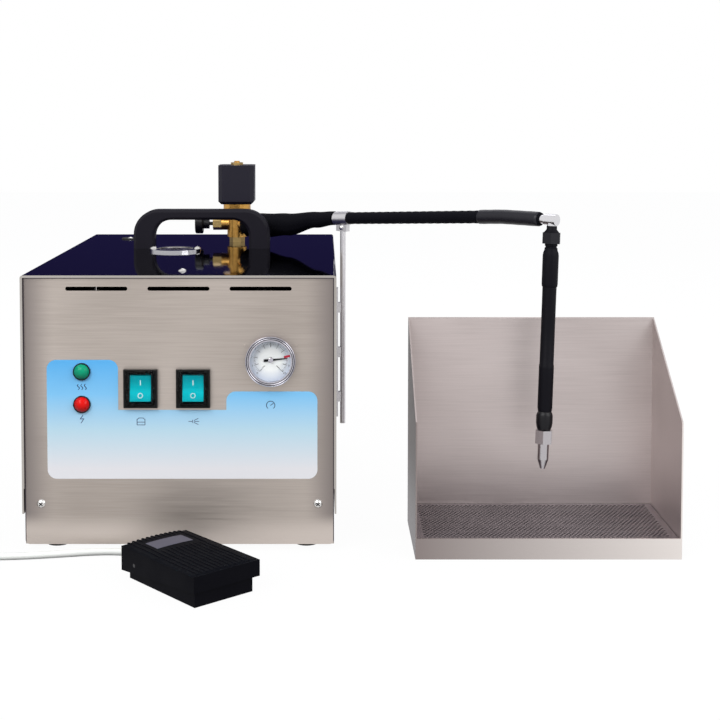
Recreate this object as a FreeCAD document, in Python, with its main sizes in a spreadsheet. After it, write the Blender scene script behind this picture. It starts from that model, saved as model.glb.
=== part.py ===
import FreeCAD, Part
import math
import os
import Sketcher

V = FreeCAD.Vector
doc = FreeCAD.newDocument("SteamCleaner")

# The driving dimensions in millimetres and degrees. X runs to the right from the middle of the casing,
# Y to the back from its front edge and Z up from the table, until each piece is moved to the origin.
SIZES = [
    ("origin_x", 146.1, "middle of the whole appliance, from the middle of the casing"),
    ("origin_y", 129.95, "middle of the whole appliance, from the front edge of the casing"),
    ("sheet", 1.5, "stainless steel sheet of the casing"),
    ("cover_wide", 270.0, "outer cover, across"),
    ("cover_deep", 384.0, "outer cover, front to back"),
    ("cover_low", 33.3, "lower edge of the cover's sides"),
    ("cover_top", 239.2, "top face of the cover"),
    ("cover_bend", 2.4, "bend radius along the top edges"),
    ("hem_wide", 2.0, "doubled front edge of the cover"),
    ("hem_deep", 12.0, "depth of the doubled front edge"),
    ("hem_low", 55.0, "lower end of the doubled edge"),
    ("foot_high", 6.0, "rubber foot, height"),
    ("foot_radius", 10.0, "rubber foot, radius at the floor"),
    ("foot_inset", 24.0, "rubber foot, in from the tray's edges"),
    ("tray_flange", 40.0, "height of the tray's bent-up sides"),
    ("panel_back", 3.0, "front panel behind the cover's front edge"),
    ("panel_corner", 4.0, "lower corners of the front panel"),
    ("rear_back", 2.0, "rear panel in front of the cover's rear edge"),
    ("vent_long", 53.7, "vent slot, length"),
    ("vent_high", 3.5, "vent slot, height"),
    ("vent_pitch", 70.2, "vent slots, spacing across the front"),
    ("vent_level", 227.5, "vent slots, height on the front"),
    ("rear_vent_pitch", 9.0, "rear vent slots, spacing"),
    ("rear_vent_level", 150.0, "lowest rear vent slot"),
    ("hole_gap", 0.2, "holes round the parts that pass through a sheet"),
    ("screw_radius", 1.9, "casing screw, shank"),
    ("screw_head", 3.9, "casing screw, head radius"),
    ("screw_dome", 2.2, "casing screw, head height"),
    ("screw_long", 8.0, "casing screw, shank length"),
    ("front_screw_x", 119.2, "front screws, from the middle"),
    ("front_screw_z", 41.3, "front screws, height"),
    ("top_screw_y", 34.0, "top front screw, from the front"),
    ("rear_screw_x", -87.5, "top rear screw, from the middle"),
    ("rear_screw_y", 330.0, "top rear screw, from the front"),
    ("label_thick", 0.3, "control film, thickness"),
    ("label_left", -113.3, "control film, left edge"),
    ("label_right", 118.7, "control film, right edge"),
    ("label_low", 63.1, "control film, lower edge"),
    ("label_high", 166.2, "control film, top of the left block"),
    ("label_step_x", -52.2, "control film, right end of the left block"),
    ("label_notch", 122.9, "control film, bottom of the notch"),
    ("label_rise_x", 40.6, "control film, left end of the right block"),
    ("label_right_high", 138.9, "control film, top of the right block"),
    ("label_corner", 8.0, "control film, corner radius"),
    ("switch_first_x", -32.7, "boiler switch, middle"),
    ("switch_second_x", 12.3, "steam switch, middle"),
    ("switch_z", 141.7, "switches, height of the middle"),
    ("bezel_wide", 29.1, "switch frame, across"),
    ("bezel_high", 33.1, "switch frame, height"),
    ("bezel_thick", 3.5, "switch frame, thickness"),
    ("switch_wide", 22.0, "switch body, across"),
    ("switch_high", 27.6, "switch body, height"),
    ("switch_deep", 22.0, "switch body, depth behind the panel"),
    ("rocker_wide", 17.8, "rocker, across"),
    ("rocker_half", 11.15, "rocker, half its height"),
    ("rocker_front", 4.5, "rocker, front corners ahead of its pin"),
    ("rocker_dip", 0.9, "rocker, hollow of its face"),
    ("rocker_back", 3.0, "rocker, behind its pin"),
    ("rocker_shoulder", 1.65, "rocker, step in behind its face"),
    ("rocker_pin", 1.2, "rocker pin, radius"),
    ("rocker_pin_hold", 1.3, "rocker pin, length in each wall"),
    ("rocker_tilt", 7.0, "rocker, tilt from the middle at rest"),
    ("rocker_side_gap", 0.3, "rocker to the walls of its well"),
    ("rocker_tip_gap", 0.45, "rocker to the ends of its well, while it turns"),
    ("running_gap", 0.05, "radial clearance of turning pins"),
    ("hood_wide", 21.4, "clear hood, across"),
    ("hood_high", 26.4, "clear hood, height"),
    ("hood_out", 5.0, "clear hood, how far it stands out of the frame"),
    ("hood_wall", 0.6, "clear hood, wall"),
    ("hood_rim", 2.4, "clear hood, rim on the frame"),
    ("lamp_x", -83.2, "lamps, middle"),
    ("heat_lamp_z", 156.2, "heating lamp, height"),
    ("fault_lamp_z", 127.9, "fault lamp, height"),
    ("lens_radius", 6.5, "lamp lens, radius"),
    ("lens_dome", 4.0, "lamp lens, height of the dome"),
    ("lamp_rim", 7.4, "lamp rim, radius"),
    ("lamp_rim_high", 1.8, "lamp rim, height"),
    ("lamp_body", 4.9, "lamp body, radius"),
    ("lamp_seat", 0.8, "lamp lens, seat above the film"),
    ("lamp_deep", 18.0, "lamp body, depth"),
    ("gauge_x", 78.6, "pressure gauge, middle"),
    ("gauge_z", 165.7, "pressure gauge, height"),
    ("gauge_radius", 21.65, "pressure gauge, bezel radius"),
    ("gauge_out", 6.5, "pressure gauge, bezel height"),
    ("gauge_case", 19.4, "pressure gauge, case radius"),
    ("gauge_bore", 18.6, "pressure gauge, inner radius"),
    ("gauge_lip", 1.0, "pressure gauge, bezel lip over the glass"),
    ("gauge_deep", 22.0, "pressure gauge, case depth"),
    ("gauge_stem", 6.0, "pressure gauge, stem radius"),
    ("gauge_stem_long", 12.0, "pressure gauge, stem length"),
    ("dial_back", 3.0, "dial seat behind the panel"),
    ("dial_thick", 0.6, "dial, thickness"),
    ("glass_thick", 1.5, "gauge glass, thickness"),
    ("needle_long", 14.5, "needle, from its shaft to the point"),
    ("needle_tail", 6.0, "needle, tail"),
    ("needle_shaft", 1.0, "needle shaft, radius"),
    ("needle_angle", 5.8, "needle above the three o'clock place"),
    ("handle_y", 234.8, "carry handle, middle"),
    ("handle_wide", 138.3, "carry handle, across"),
    ("handle_high", 39.4, "carry handle, height"),
    ("handle_deep", 20.0, "carry handle, front to back"),
    ("handle_bar", 10.3, "carry handle, bar"),
    ("handle_leg", 21.2, "carry handle, leg across"),
    ("handle_outer", 25.0, "carry handle, outer corner radius"),
    ("handle_inner", 17.0, "carry handle, inner corner radius"),
    ("handle_bevel", 2.6, "carry handle, edge bevel"),
    ("filler_x", -24.5, "filler, middle"),
    ("filler_y", 207.0, "filler, from the front"),
    ("filler_ring", 25.5, "filler ring, radius"),
    ("filler_ring_high", 2.2, "filler ring, thickness"),
    ("filler_screw_x", 21.8, "filler ring screws, from its middle"),
    ("neck_radius", 18.0, "filler neck, outer radius"),
    ("neck_bore", 15.0, "filler neck, bore radius"),
    ("cap_gap", 0.3, "filler cap to the bore of the neck"),
    ("cap_long", 16.0, "filler cap, length in the neck"),
    ("boiler_y", 235.0, "boiler, middle from the front"),
    ("boiler_radius", 100.0, "boiler, radius"),
    ("boiler_low", 57.0, "boiler, lower end of the cylinder"),
    ("boiler_high", 185.0, "boiler, upper end of the cylinder"),
    ("boiler_dome", 26.0, "boiler, height of each end"),
    ("boiler_wall", 2.5, "boiler, wall"),
    ("cradle_radius", 70.0, "boiler skirt, radius"),
    ("fitting_radius", 8.0, "bosses on the boiler, radius"),
    ("fitting_top", 210.0, "bosses on the boiler, top"),
    ("safety_x", -62.0, "safety valve, across"),
    ("safety_y", 262.0, "safety valve, from the front"),
    ("pressure_x", 62.0, "pressure switch, across"),
    ("pressure_y", 208.0, "pressure switch, from the front"),
    ("heater_z", 72.0, "heating element, height"),
    ("heater_rod", 4.0, "heating element, rod radius"),
    ("heater_half", 15.0, "heating element, half the rod spacing"),
    ("heater_long", 140.0, "heating element, length in the boiler"),
    ("heater_port", 26.0, "heating element port, radius"),
    ("heater_plate", 32.0, "heating element plate, radius"),
    ("heater_plate_y", 122.0, "heating element port, front face"),
    ("drain_z", 70.0, "drain, height"),
    ("drain_radius", 6.0, "drain pipe, radius"),
    ("drain_plug_radius", 9.5, "drain plug, hexagon over its corners"),
    ("drain_plug_long", 11.0, "drain plug, length"),
    ("board_x", -122.0, "control board, left edge"),
    ("board_y", 36.0, "control board, front edge"),
    ("board_wide", 62.0, "control board, across"),
    ("board_long", 84.0, "control board, front to back"),
    ("board_thick", 1.6, "control board, thickness"),
    ("board_stand", 7.0, "control board, height of its posts"),
    ("gland_x", -100.0, "mains gland, across"),
    ("gland_z", 45.0, "mains gland and pedal socket, height"),
    ("gland_radius", 10.5, "mains gland, radius"),
    ("gland_bore", 3.7, "mains gland, cord bore radius"),
    ("gland_long", 14.0, "mains gland, length outside"),
    ("socket_x", -62.0, "pedal socket, across"),
    ("socket_radius", 11.0, "pedal socket, radius"),
    ("socket_bore", 6.0, "pedal socket, bore radius"),
    ("socket_long", 6.0, "pedal socket, length outside"),
    ("valve_x", 31.5, "steam valve, across"),
    ("valve_y", 300.6, "steam valve, from the front"),
    ("nipple_radius", 5.0, "steam nipple, radius"),
    ("base_nut_high", 5.3, "nut on the steam nipple, height"),
    ("nut_radius", 8.2, "nuts on the valve, radius over corners"),
    ("valve_hub", 10.5, "valve body, radius"),
    ("valve_hub_high", 22.5, "valve body, height"),
    ("outlet_radius", 7.2, "valve body, outlet boss radius"),
    ("valve_neck", 8.0, "valve body, neck radius"),
    ("valve_flange", 14.5, "valve body, flange radius"),
    ("valve_flange_low", 273.0, "valve body, underside of the flange"),
    ("coil_low", 280.0, "solenoid coil, underside"),
    ("coil_high", 321.3, "solenoid coil, top"),
    ("coil_wide", 37.8, "solenoid coil, across"),
    ("coil_bevel", 4.0, "solenoid coil, upright bevels"),
    ("coil_foot_bevel", 3.0, "solenoid coil, bevel round its underside"),
    ("armature_tube", 6.5, "armature tube, outer radius"),
    ("armature_bore", 5.2, "armature tube, bore radius"),
    ("armature_low", 283.0, "armature tube, floor of the bore"),
    ("armature_high", 315.0, "armature tube, roof of the bore"),
    ("plunger_radius", 5.15, "plunger, radius"),
    ("plunger_long", 24.0, "plunger, length"),
    ("coil_stud", 3.0, "stud on the armature tube, radius"),
    ("coil_nut_high", 2.7, "coil nut, height"),
    ("knob_z", 258.5, "regulator, height"),
    ("valve_side", 16.6, "valve body, side boss length"),
    ("valve_side_radius", 6.8, "valve body, side boss radius"),
    ("gland_nut_long", 9.0, "regulator gland nut, length"),
    ("stem_radius", 1.9, "regulator stem, radius"),
    ("stem_long", 4.0, "regulator stem, bare length"),
    ("knob_hub", 5.5, "regulator knob, hub radius"),
    ("knob_hub_long", 6.5, "regulator knob, hub length"),
    ("knob_radius", 10.75, "regulator knob, radius"),
    ("knob_thick", 8.3, "regulator knob, thickness"),
    ("arm_turn", -42.8, "steam arm, direction on the plan"),
    ("arm_start", 13.5, "steam arm, start from the valve's axis"),
    ("arm_low", 258.0, "steam arm, height at the valve"),
    ("arm_rise_from", 58.0, "steam arm, start of the rise"),
    ("arm_rise_to", 120.0, "steam arm, end of the rise"),
    ("arm_middle", 270.4, "steam arm, height at the end of the rise"),
    ("arm_level_from", 345.0, "steam arm, start of the level end"),
    ("arm_high", 284.2, "steam arm, height of the level end"),
    ("arm_reach", 397.7, "steam arm, from the valve's axis to the lance"),
    ("arm_bend", 60.0, "steam arm, bend radius"),
    ("pipe_radius", 4.0, "steam pipe, radius"),
    ("wrap_radius", 6.0, "heat wrap, radius"),
    ("wrap_from", 100.0, "heat wrap, start"),
    ("wrap_to", 386.0, "heat wrap, end"),
    ("sleeve_radius", 6.5, "end sleeve, radius"),
    ("sleeve_from", 320.0, "end sleeve, start"),
    ("clamp_at", 152.2, "clamp, from the valve's axis"),
    ("clamp_wide", 17.6, "clamp, along the arm"),
    ("clamp_thick", 0.8, "clamp, strap thickness"),
    ("clamp_tab", 6.0, "clamp, tabs below the arm"),
    ("rod_radius", 2.7, "support rod, radius"),
    ("rod_low", 66.8, "support rod, lower end"),
    ("bracket_deep", 14.0, "rod brackets, front to back"),
    ("bracket_out", 12.4, "rod brackets, out of the side"),
    ("bracket_high", 39.3, "rod brackets, height"),
    ("bracket_low", 74.0, "lower bracket, lower end"),
    ("bracket_upper", 163.7, "upper bracket, lower end"),
    ("lance_lean", -3.1, "lance, lean in its swing"),
    ("elbow_radius", 5.0, "elbow, radius"),
    ("elbow_long", 7.0, "elbow, each way from the lance's axis"),
    ("lance_neck", 4.2, "elbow neck, radius"),
    ("lance_nut_from", 11.1, "lance nut, top below the arm's axis"),
    ("lance_nut_long", 9.6, "lance nut, length"),
    ("lance_nut_radius", 8.6, "lance nut, radius over corners"),
    ("grip_radius", 7.0, "lance grip, radius"),
    ("grip_to", 58.4, "lance grip, end"),
    ("tube_radius", 6.15, "lance tube, radius"),
    ("tube_to", 126.9, "lance tube, end"),
    ("lower_radius", 6.45, "lance lower sleeve, radius"),
    ("lower_to", 167.3, "lance lower sleeve, end"),
    ("collar_radius", 7.3, "lance collar, radius"),
    ("collar_long", 16.3, "lance collar, length"),
    ("tip_nut_radius", 8.1, "nozzle hexagon, radius over corners"),
    ("tip_nut_long", 11.6, "nozzle hexagon, length"),
    ("nozzle_radius", 4.85, "nozzle, radius"),
    ("nozzle_to", 209.2, "nozzle, start of the cone"),
    ("tip_radius", 2.15, "nozzle, tip radius"),
    ("tip_to", 217.3, "nozzle, tip"),
    ("steam_bore", 0.8, "nozzle, bore radius"),
    ("booth_left", 201.7, "booth, left side from the middle of the casing"),
    ("booth_front", -19.6, "booth, front edge"),
    ("booth_wide", 225.6, "booth, across"),
    ("booth_deep", 107.9, "booth, front to back"),
    ("booth_high", 190.0, "booth, back wall"),
    ("booth_side", 116.5, "booth, front edge of the sides"),
    ("booth_lip", 17.8, "booth, front lip"),
    ("booth_wall", 1.2, "booth, sheet"),
    ("ledge_wide", 8.0, "booth, ledges under the grille"),
    ("grille_top", 16.8, "grille, upper face"),
    ("grille_thick", 1.5, "grille, thickness"),
    ("grille_gap", 0.6, "grille to the booth's walls"),
    ("grille_edge", 7.0, "grille, plain border"),
    ("grille_pitch_x", 16.0, "grille, openings' spacing across"),
    ("grille_pitch_y", 14.0, "grille, openings' spacing front to back"),
    ("grille_web", 3.0, "grille, bars between openings"),
    ("pedal_x", 25.5, "pedal, near corner from the middle of the casing"),
    ("pedal_y", -132.4, "pedal, near corner from the casing's front"),
    ("pedal_turn", 41.0, "pedal, turn on the plan"),
    ("pedal_base_wide", 56.0, "pedal base, across"),
    ("pedal_base_long", 90.0, "pedal base, length"),
    ("pedal_base_high", 11.0, "pedal base, height"),
    ("pedal_wall", 2.0, "pedal base, wall"),
    ("treadle_wide", 64.0, "treadle, across"),
    ("treadle_long", 101.0, "treadle, length"),
    ("treadle_top", 25.0, "treadle, top"),
    ("treadle_wall", 1.6, "treadle, wall"),
    ("treadle_over", 2.6, "treadle ahead of the base"),
    ("skirt_front", 12.0, "treadle skirt, lower edge in front"),
    ("skirt_rear", 5.0, "treadle skirt, lower edge behind"),
    ("hinge_y", 80.0, "pedal hinge, from the base's front"),
    ("hinge_z", 13.0, "pedal hinge, height"),
    ("hinge_pin", 1.5, "pedal pin, radius"),
    ("spring_y", 22.0, "pedal spring, from the base's front"),
    ("spring_radius", 5.0, "pedal spring, radius"),
    ("spring_wire", 0.6, "pedal spring, wire radius"),
    ("spring_turns", 5.0, "pedal spring, turns"),
    ("pedal_gland_x", 30.0, "pedal cable exit, across the base"),
    ("pedal_gland_z", 6.0, "pedal cable exit, height"),
    ("pedal_gland_radius", 4.6, "pedal strain relief, radius at the base"),
    ("pedal_gland_long", 16.0, "pedal strain relief, length"),
    ("cable_radius", 3.0, "pedal cable, radius"),
    ("coil_x", -220.0, "cable coil, middle"),
    ("coil_y", 22.0, "cable coil, middle"),
    ("plug_radius", 9.5, "cable plug, radius"),
    ("plug_long", 32.0, "cable plug, length"),
    ("plug_nose", 15.0, "cable plug, strain relief length"),
]


class Size:
    """A number that remembers its formula on the sheet."""

    def __init__(self, number, formula):
        self.number = number
        self.formula = formula

    def __add__(self, other):
        other = as_size(other)
        return Size(self.number + other.number, f"({self.formula} + {other.formula})")

    __radd__ = __add__

    def __neg__(self):
        return Size(-self.number, f"(-1 * {self.formula})")

    def __sub__(self, other):
        return self + -as_size(other)

    def __rsub__(self, other):
        return as_size(other) + -self

    def __mul__(self, other):
        other = as_size(other)
        return Size(self.number * other.number, f"({self.formula} * {other.formula})")

    __rmul__ = __mul__

    def __truediv__(self, other):
        other = as_size(other)
        return Size(self.number / other.number, f"({self.formula} / {other.formula})")


def as_size(value):
    return value if isinstance(value, Size) else Size(float(value), f"{float(value):.6f}")


def number(value):
    return as_size(value).number


def sine(angle):
    angle = as_size(angle)
    return Size(math.sin(math.radians(angle.number)), f"sin({angle.formula} * 1 deg)")


def cosine(angle):
    angle = as_size(angle)
    return Size(math.cos(math.radians(angle.number)), f"cos({angle.formula} * 1 deg)")


def root(value):
    value = as_size(value)
    return Size(math.sqrt(value.number), f"sqrt({value.formula})")


class Sizes:
    """The driving dimensions by name."""


def write_sheet():
    sheet = doc.addObject("Spreadsheet::Sheet", "Sizes")
    sizes = Sizes()
    for row, (name, value, meaning) in enumerate(SIZES, 1):
        sheet.set(f"A{row}", meaning)
        sheet.set(f"B{row}", str(value))
        sheet.setAlias(f"B{row}", name)
        setattr(sizes, name, Size(value, f"Sizes.{name}"))
    doc.recompute()
    return sizes


s = write_sheet()
sub_parts = {}


def bind(thing, prop, value):
    thing.setExpression(prop, as_size(value).formula)


def place(thing, x=0, y=0, z=0, turn=None):
    """Put an object at a point, turned as given."""
    thing.Placement = FreeCAD.Placement(V(number(x), number(y), number(z)), turn or FreeCAD.Rotation())
    for letter, value in zip("xyz", (x, y, z)):
        bind(thing, f"Placement.Base.{letter}", value)
    return thing


def sub_part(name, thing, x=0, y=0, z=0, turn=None):
    """Name a finished piece and set it in the appliance."""
    thing.Label = name
    place(thing, x - s.origin_x, y - s.origin_y, z, turn)
    sub_parts[name] = thing
    return thing


TURN = {
    "X": FreeCAD.Rotation(V(0, 1, 0), 90),
    "-X": FreeCAD.Rotation(V(0, 1, 0), -90),
    "Y": FreeCAD.Rotation(V(1, 0, 0), -90),
    "-Y": FreeCAD.Rotation(V(1, 0, 0), 90),
    "Z": FreeCAD.Rotation(),
    "-Z": FreeCAD.Rotation(V(1, 0, 0), 180),
}


def block(length, width, height, x=0, y=0, z=0):
    thing = doc.addObject("Part::Box", "Block")
    bind(thing, "Length", length)
    bind(thing, "Width", width)
    bind(thing, "Height", height)
    return place(thing, x, y, z)


def middle_block(length, width, height, x=0, y=0, z=0):
    """A block centred on x and y that stands on z."""
    return block(length, width, height, x - as_size(length) / 2, y - as_size(width) / 2, z)


def round_bar(radius, length, x=0, y=0, z=0, along="Z"):
    thing = doc.addObject("Part::Cylinder", "RoundBar")
    bind(thing, "Radius", radius)
    bind(thing, "Height", length)
    return place(thing, x, y, z, TURN[along])


def taper(first, last, length, x=0, y=0, z=0, along="Z"):
    thing = doc.addObject("Part::Cone", "Taper")
    bind(thing, "Radius1", first)
    bind(thing, "Radius2", last)
    bind(thing, "Height", length)
    return place(thing, x, y, z, TURN[along])


def hexagon(radius, length, x=0, y=0, z=0, along="Z"):
    thing = doc.addObject("Part::Prism", "Hexagon")
    thing.Polygon = 6
    bind(thing, "Circumradius", radius)
    bind(thing, "Height", length)
    return place(thing, x, y, z, TURN[along])


def dome(radius, height, x=0, y=0, z=0, along="Z"):
    """A shallow cap of a sphere that stands on a flat face."""
    radius, height = as_size(radius), as_size(height)
    ball = (radius * radius + height * height) / (2 * height)
    angle = math.degrees(math.asin((ball.number - height.number) / ball.number))
    thing = doc.addObject("Part::Sphere", "Dome")
    bind(thing, "Radius", ball)
    thing.setExpression("Angle1", f"asin({(1 - height / ball).formula})")
    thing.Angle1 = angle
    thing.Angle2 = 90
    turn = TURN[along]
    seat = turn.multVec(V(0, 0, 1))
    drop = ball - height
    return place(thing, x - drop * seat.x, y - drop * seat.y, z - drop * seat.z, turn)


def fused(*pieces):
    thing = doc.addObject("Part::MultiFuse", "Joined")
    thing.Shapes = list(pieces)
    return thing


def cut(base, *tools):
    thing = doc.addObject("Part::Cut", "Trimmed")
    thing.Base = base
    thing.Tool = tools[0] if len(tools) == 1 else fused(*tools)
    return thing


def group(*pieces):
    thing = doc.addObject("Part::Compound", "Group")
    thing.Links = list(pieces)
    return thing


def new_body():
    return doc.addObject("PartDesign::Body", "Body")


def sketch_on(body, role, offset=0):
    """A sketch on one of the body's own planes, moved along its normal."""
    sketch = body.newObject("Sketcher::SketchObject", "Sketch")
    plane = next(item for item in body.Origin.OriginFeatures if item.Role == role)
    sketch.AttachmentSupport = [(plane, "")]
    sketch.MapMode = "FlatFace"
    bind(sketch, "AttachmentOffset.Base.z", offset)
    return sketch


def fix_point(sketch, geometry, point, x, y):
    for kind, value in (("DistanceX", x), ("DistanceY", y)):
        value = as_size(value)
        row = sketch.addConstraint(Sketcher.Constraint(kind, -1, 1, geometry, point, value.number))
        sketch.setExpression(f"Constraints[{row}]", value.formula)


def arc_through(start, end, radius):
    """A short arc; it bulges to the right of the way from start to end, or left if the radius is negative."""
    chord = end - start
    side = V(chord.y, -chord.x, 0).normalize() * (1 if radius > 0 else -1)
    rise = abs(radius) - math.sqrt(radius ** 2 - (chord.Length / 2) ** 2)
    return Part.Arc(start, (start + end) * 0.5 + side * rise, end)


def outline(sketch, corners):
    """A closed line through corners (x, y); a third number makes the edge that ends there an arc."""
    count = len(corners)
    points = [V(number(corner[0]), number(corner[1]), 0) for corner in corners]
    ends = []
    for index in range(count):
        after = (index + 1) % count
        if len(corners[after]) == 3:
            radius = as_size(corners[after][2])
            edge = sketch.addGeometry(arc_through(points[index], points[after], radius.number))
            rightward = radius.number > 0
            ends.append((edge, 1, 2) if rightward else (edge, 2, 1))
            row = sketch.addConstraint(Sketcher.Constraint("Radius", edge, abs(radius.number)))
            sketch.setExpression(f"Constraints[{row}]", f"abs({radius.formula})")
        else:
            edge = sketch.addGeometry(Part.LineSegment(points[index], points[after]))
            ends.append((edge, 1, 2))
    for index in range(count):
        edge, _, last = ends[index]
        following, first, _ = ends[(index + 1) % count]
        sketch.addConstraint(Sketcher.Constraint("Coincident", edge, last, following, first))
    for index in range(count):
        edge, first, _ = ends[index]
        fix_point(sketch, edge, first, corners[index][0], corners[index][1])


def rectangle(sketch, x, y, wide, high):
    left, right = x - wide / 2, x + wide / 2
    low, top = y - high / 2, y + high / 2
    outline(sketch, [(left, low), (right, low), (right, top), (left, top)])


def circle(sketch, x, y, radius):
    radius = as_size(radius)
    edge = sketch.addGeometry(Part.Circle(V(number(x), number(y), 0), V(0, 0, 1), radius.number))
    row = sketch.addConstraint(Sketcher.Constraint("Radius", edge, radius.number))
    sketch.setExpression(f"Constraints[{row}]", radius.formula)
    fix_point(sketch, edge, 3, x, y)


def slot(sketch, x, y, long, high):
    """A level slot with rounded ends."""
    left, right = x - long / 2 + high / 2, x + long / 2 - high / 2
    low, top = y - high / 2, y + high / 2
    end = high * 0.51
    outline(sketch, [(left, low, end), (right, low), (right, top, end), (left, top)])


def feature(body, kind, sketch, length, reverse=False):
    thing = body.newObject(f"PartDesign::{kind}", kind)
    thing.Profile = sketch
    bind(thing, "Length", length)
    thing.Reversed = reverse
    return thing


def soften(body, base, size, choose, kind="Fillet"):
    """Round or bevel the edges that the test picks."""
    doc.recompute()
    names = [f"Edge{row}" for row, edge in enumerate(base.Shape.Edges, 1) if choose(edge)]
    thing = body.newObject(f"PartDesign::{kind}", kind)
    thing.Base = (base, names)
    bind(thing, "Radius" if kind == "Fillet" else "Size", size)
    return thing


def turned(corners):
    """A body turned on a lathe from (radius, height) corners round Z."""
    body = new_body()
    sketch = sketch_on(body, "XZ_Plane")
    outline(sketch, corners)
    spin = body.newObject("PartDesign::Revolution", "Revolution")
    spin.Profile = sketch
    spin.ReferenceAxis = (sketch, ["V_Axis"])
    spin.Angle = 360
    return body


def runs_along(edge, direction):
    if len(edge.Vertexes) != 2 or edge.Curve.TypeId != "Part::GeomLine":
        return False
    way = edge.Vertexes[1].Point - edge.Vertexes[0].Point
    return way.cross(direction).Length < 0.001 * way.Length


def near(value, wanted, slack=0.01):
    return abs(value - number(wanted)) < slack


def prism(role, corners, length, offset=0, reverse=False):
    """A straight body with the given outline on one of its planes."""
    body = new_body()
    sketch = sketch_on(body, role, offset)
    outline(sketch, corners)
    feature(body, "Pad", sketch, length, reverse)
    return body


def bent_wire(points, radii):
    """Straight runs through the points, joined by tangent arcs of the given radii."""
    edges = []
    last = points[0]
    for before, corner, after, radius in zip(points, points[1:], points[2:], radii):
        way_in = (corner - before).normalize()
        way_out = (after - corner).normalize()
        half = way_in.getAngle(way_out) / 2
        reach = radius * math.tan(half)
        start, end = corner - way_in * reach, corner + way_out * reach
        inward = (way_out - way_in).normalize()
        middle = corner + inward * (radius / math.cos(half) - radius)
        edges.append(Part.LineSegment(last, start).toShape())
        edges.append(Part.Arc(start, middle, end).toShape())
        last = end
    edges.append(Part.LineSegment(last, points[-1]).toShape())
    return Part.Wire(edges)


def tube(path, radius):
    """A round tube along a path; the volume is compared with section times length."""
    first = path.Edges[0]
    start = first.valueAt(first.FirstParameter)
    way = first.tangentAt(first.FirstParameter)
    ring = Part.Wire(Part.makeCircle(radius, start, way))
    solid = path.makePipeShell([ring], True, False)
    expected = math.pi * radius ** 2 * path.Length
    if abs(solid.Volume / expected - 1) > 0.01:
        raise ValueError(f"tube volume {solid.Volume:.0f} instead of {expected:.0f}")
    return solid


def shaped(shape):
    """A piece whose form Part's own functions give."""
    thing = doc.addObject("Part::Feature", "Shaped")
    thing.Shape = shape
    return thing


cover_half = s.cover_wide / 2
panel_half = cover_half - s.hem_wide
film_front = s.panel_back - s.label_thick
tray_floor = s.foot_high + s.sheet
rear_face = s.cover_deep - s.rear_back
rod_x = s.valve_x + s.clamp_at * cosine(s.arm_turn)
rod_y = s.valve_y + s.clamp_at * sine(s.arm_turn)
handle_screw_x = s.handle_wide / 2 - s.handle_leg / 2


def screw(x, y, z, into, long=s.screw_long):
    """A domed screw whose head sits at the point and whose shank runs the given way."""
    back = into[1:] if into.startswith("-") else "-" + into
    head = dome(s.screw_head, s.screw_dome, x, y, z, back)
    return fused(head, round_bar(s.screw_radius, long, x, y, z, into))


def casing_screws():
    """Two screws in the front, two in the top, two in the filler ring and two that hold the handle."""
    ring_top = s.cover_top + s.filler_ring_high
    under = s.cover_top - s.sheet
    screws = [
        screw(-s.front_screw_x, s.panel_back, s.front_screw_z, "Y"),
        screw(s.front_screw_x, s.panel_back, s.front_screw_z, "Y"),
        screw(0, s.top_screw_y, s.cover_top, "-Z"),
        screw(s.rear_screw_x, s.rear_screw_y, s.cover_top, "-Z"),
        screw(s.filler_x - s.filler_screw_x, s.filler_y, ring_top, "-Z"),
        screw(s.filler_x + s.filler_screw_x, s.filler_y, ring_top, "-Z"),
        screw(-handle_screw_x, s.handle_y, under, "Z"),
        screw(handle_screw_x, s.handle_y, under, "Z"),
    ]
    sub_part("casing_screws", group(*screws))


def outer_cover():
    """Bent sheet over the top and both sides, with a doubled front edge."""
    inside = cover_half - s.sheet
    under = s.cover_top - s.sheet
    body = new_body()
    sketch = sketch_on(body, "XZ_Plane")
    outline(sketch, [
        (-cover_half, s.cover_low), (-inside, s.cover_low), (-inside, under), (inside, under),
        (inside, s.cover_low), (cover_half, s.cover_low), (cover_half, s.cover_top), (-cover_half, s.cover_top),
    ])
    feature(body, "Pad", sketch, s.cover_deep, reverse=True)
    hem = sketch_on(body, "XZ_Plane")
    hem_under = s.cover_top - s.hem_wide
    outline(hem, [
        (-inside, s.hem_low), (-panel_half, s.hem_low), (-panel_half, hem_under), (panel_half, hem_under),
        (panel_half, s.hem_low), (inside, s.hem_low), (inside, under), (-inside, under),
    ])
    doubled = feature(body, "Pad", hem, s.hem_deep, reverse=True)

    def bend(edge):
        middle = edge.CenterOfMass
        return runs_along(edge, V(0, 1, 0)) and near(middle.z, s.cover_top) and near(abs(middle.x), cover_half)

    soften(body, doubled, s.cover_bend, bend)
    holes = sketch_on(body, "XY_Plane", s.cover_top)
    circle(holes, s.filler_x, s.filler_y, s.neck_radius + s.hole_gap)
    circle(holes, s.valve_x, s.valve_y, s.nipple_radius + s.hole_gap)
    for x, y in (
        (0, s.top_screw_y),
        (s.rear_screw_x, s.rear_screw_y),
        (s.filler_x - s.filler_screw_x, s.filler_y),
        (s.filler_x + s.filler_screw_x, s.filler_y),
        (-handle_screw_x, s.handle_y),
        (handle_screw_x, s.handle_y),
    ):
        circle(holes, x, y, s.screw_radius)
    feature(body, "Pocket", holes, s.sheet * 2)
    sub_part("outer_cover", body)


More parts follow.
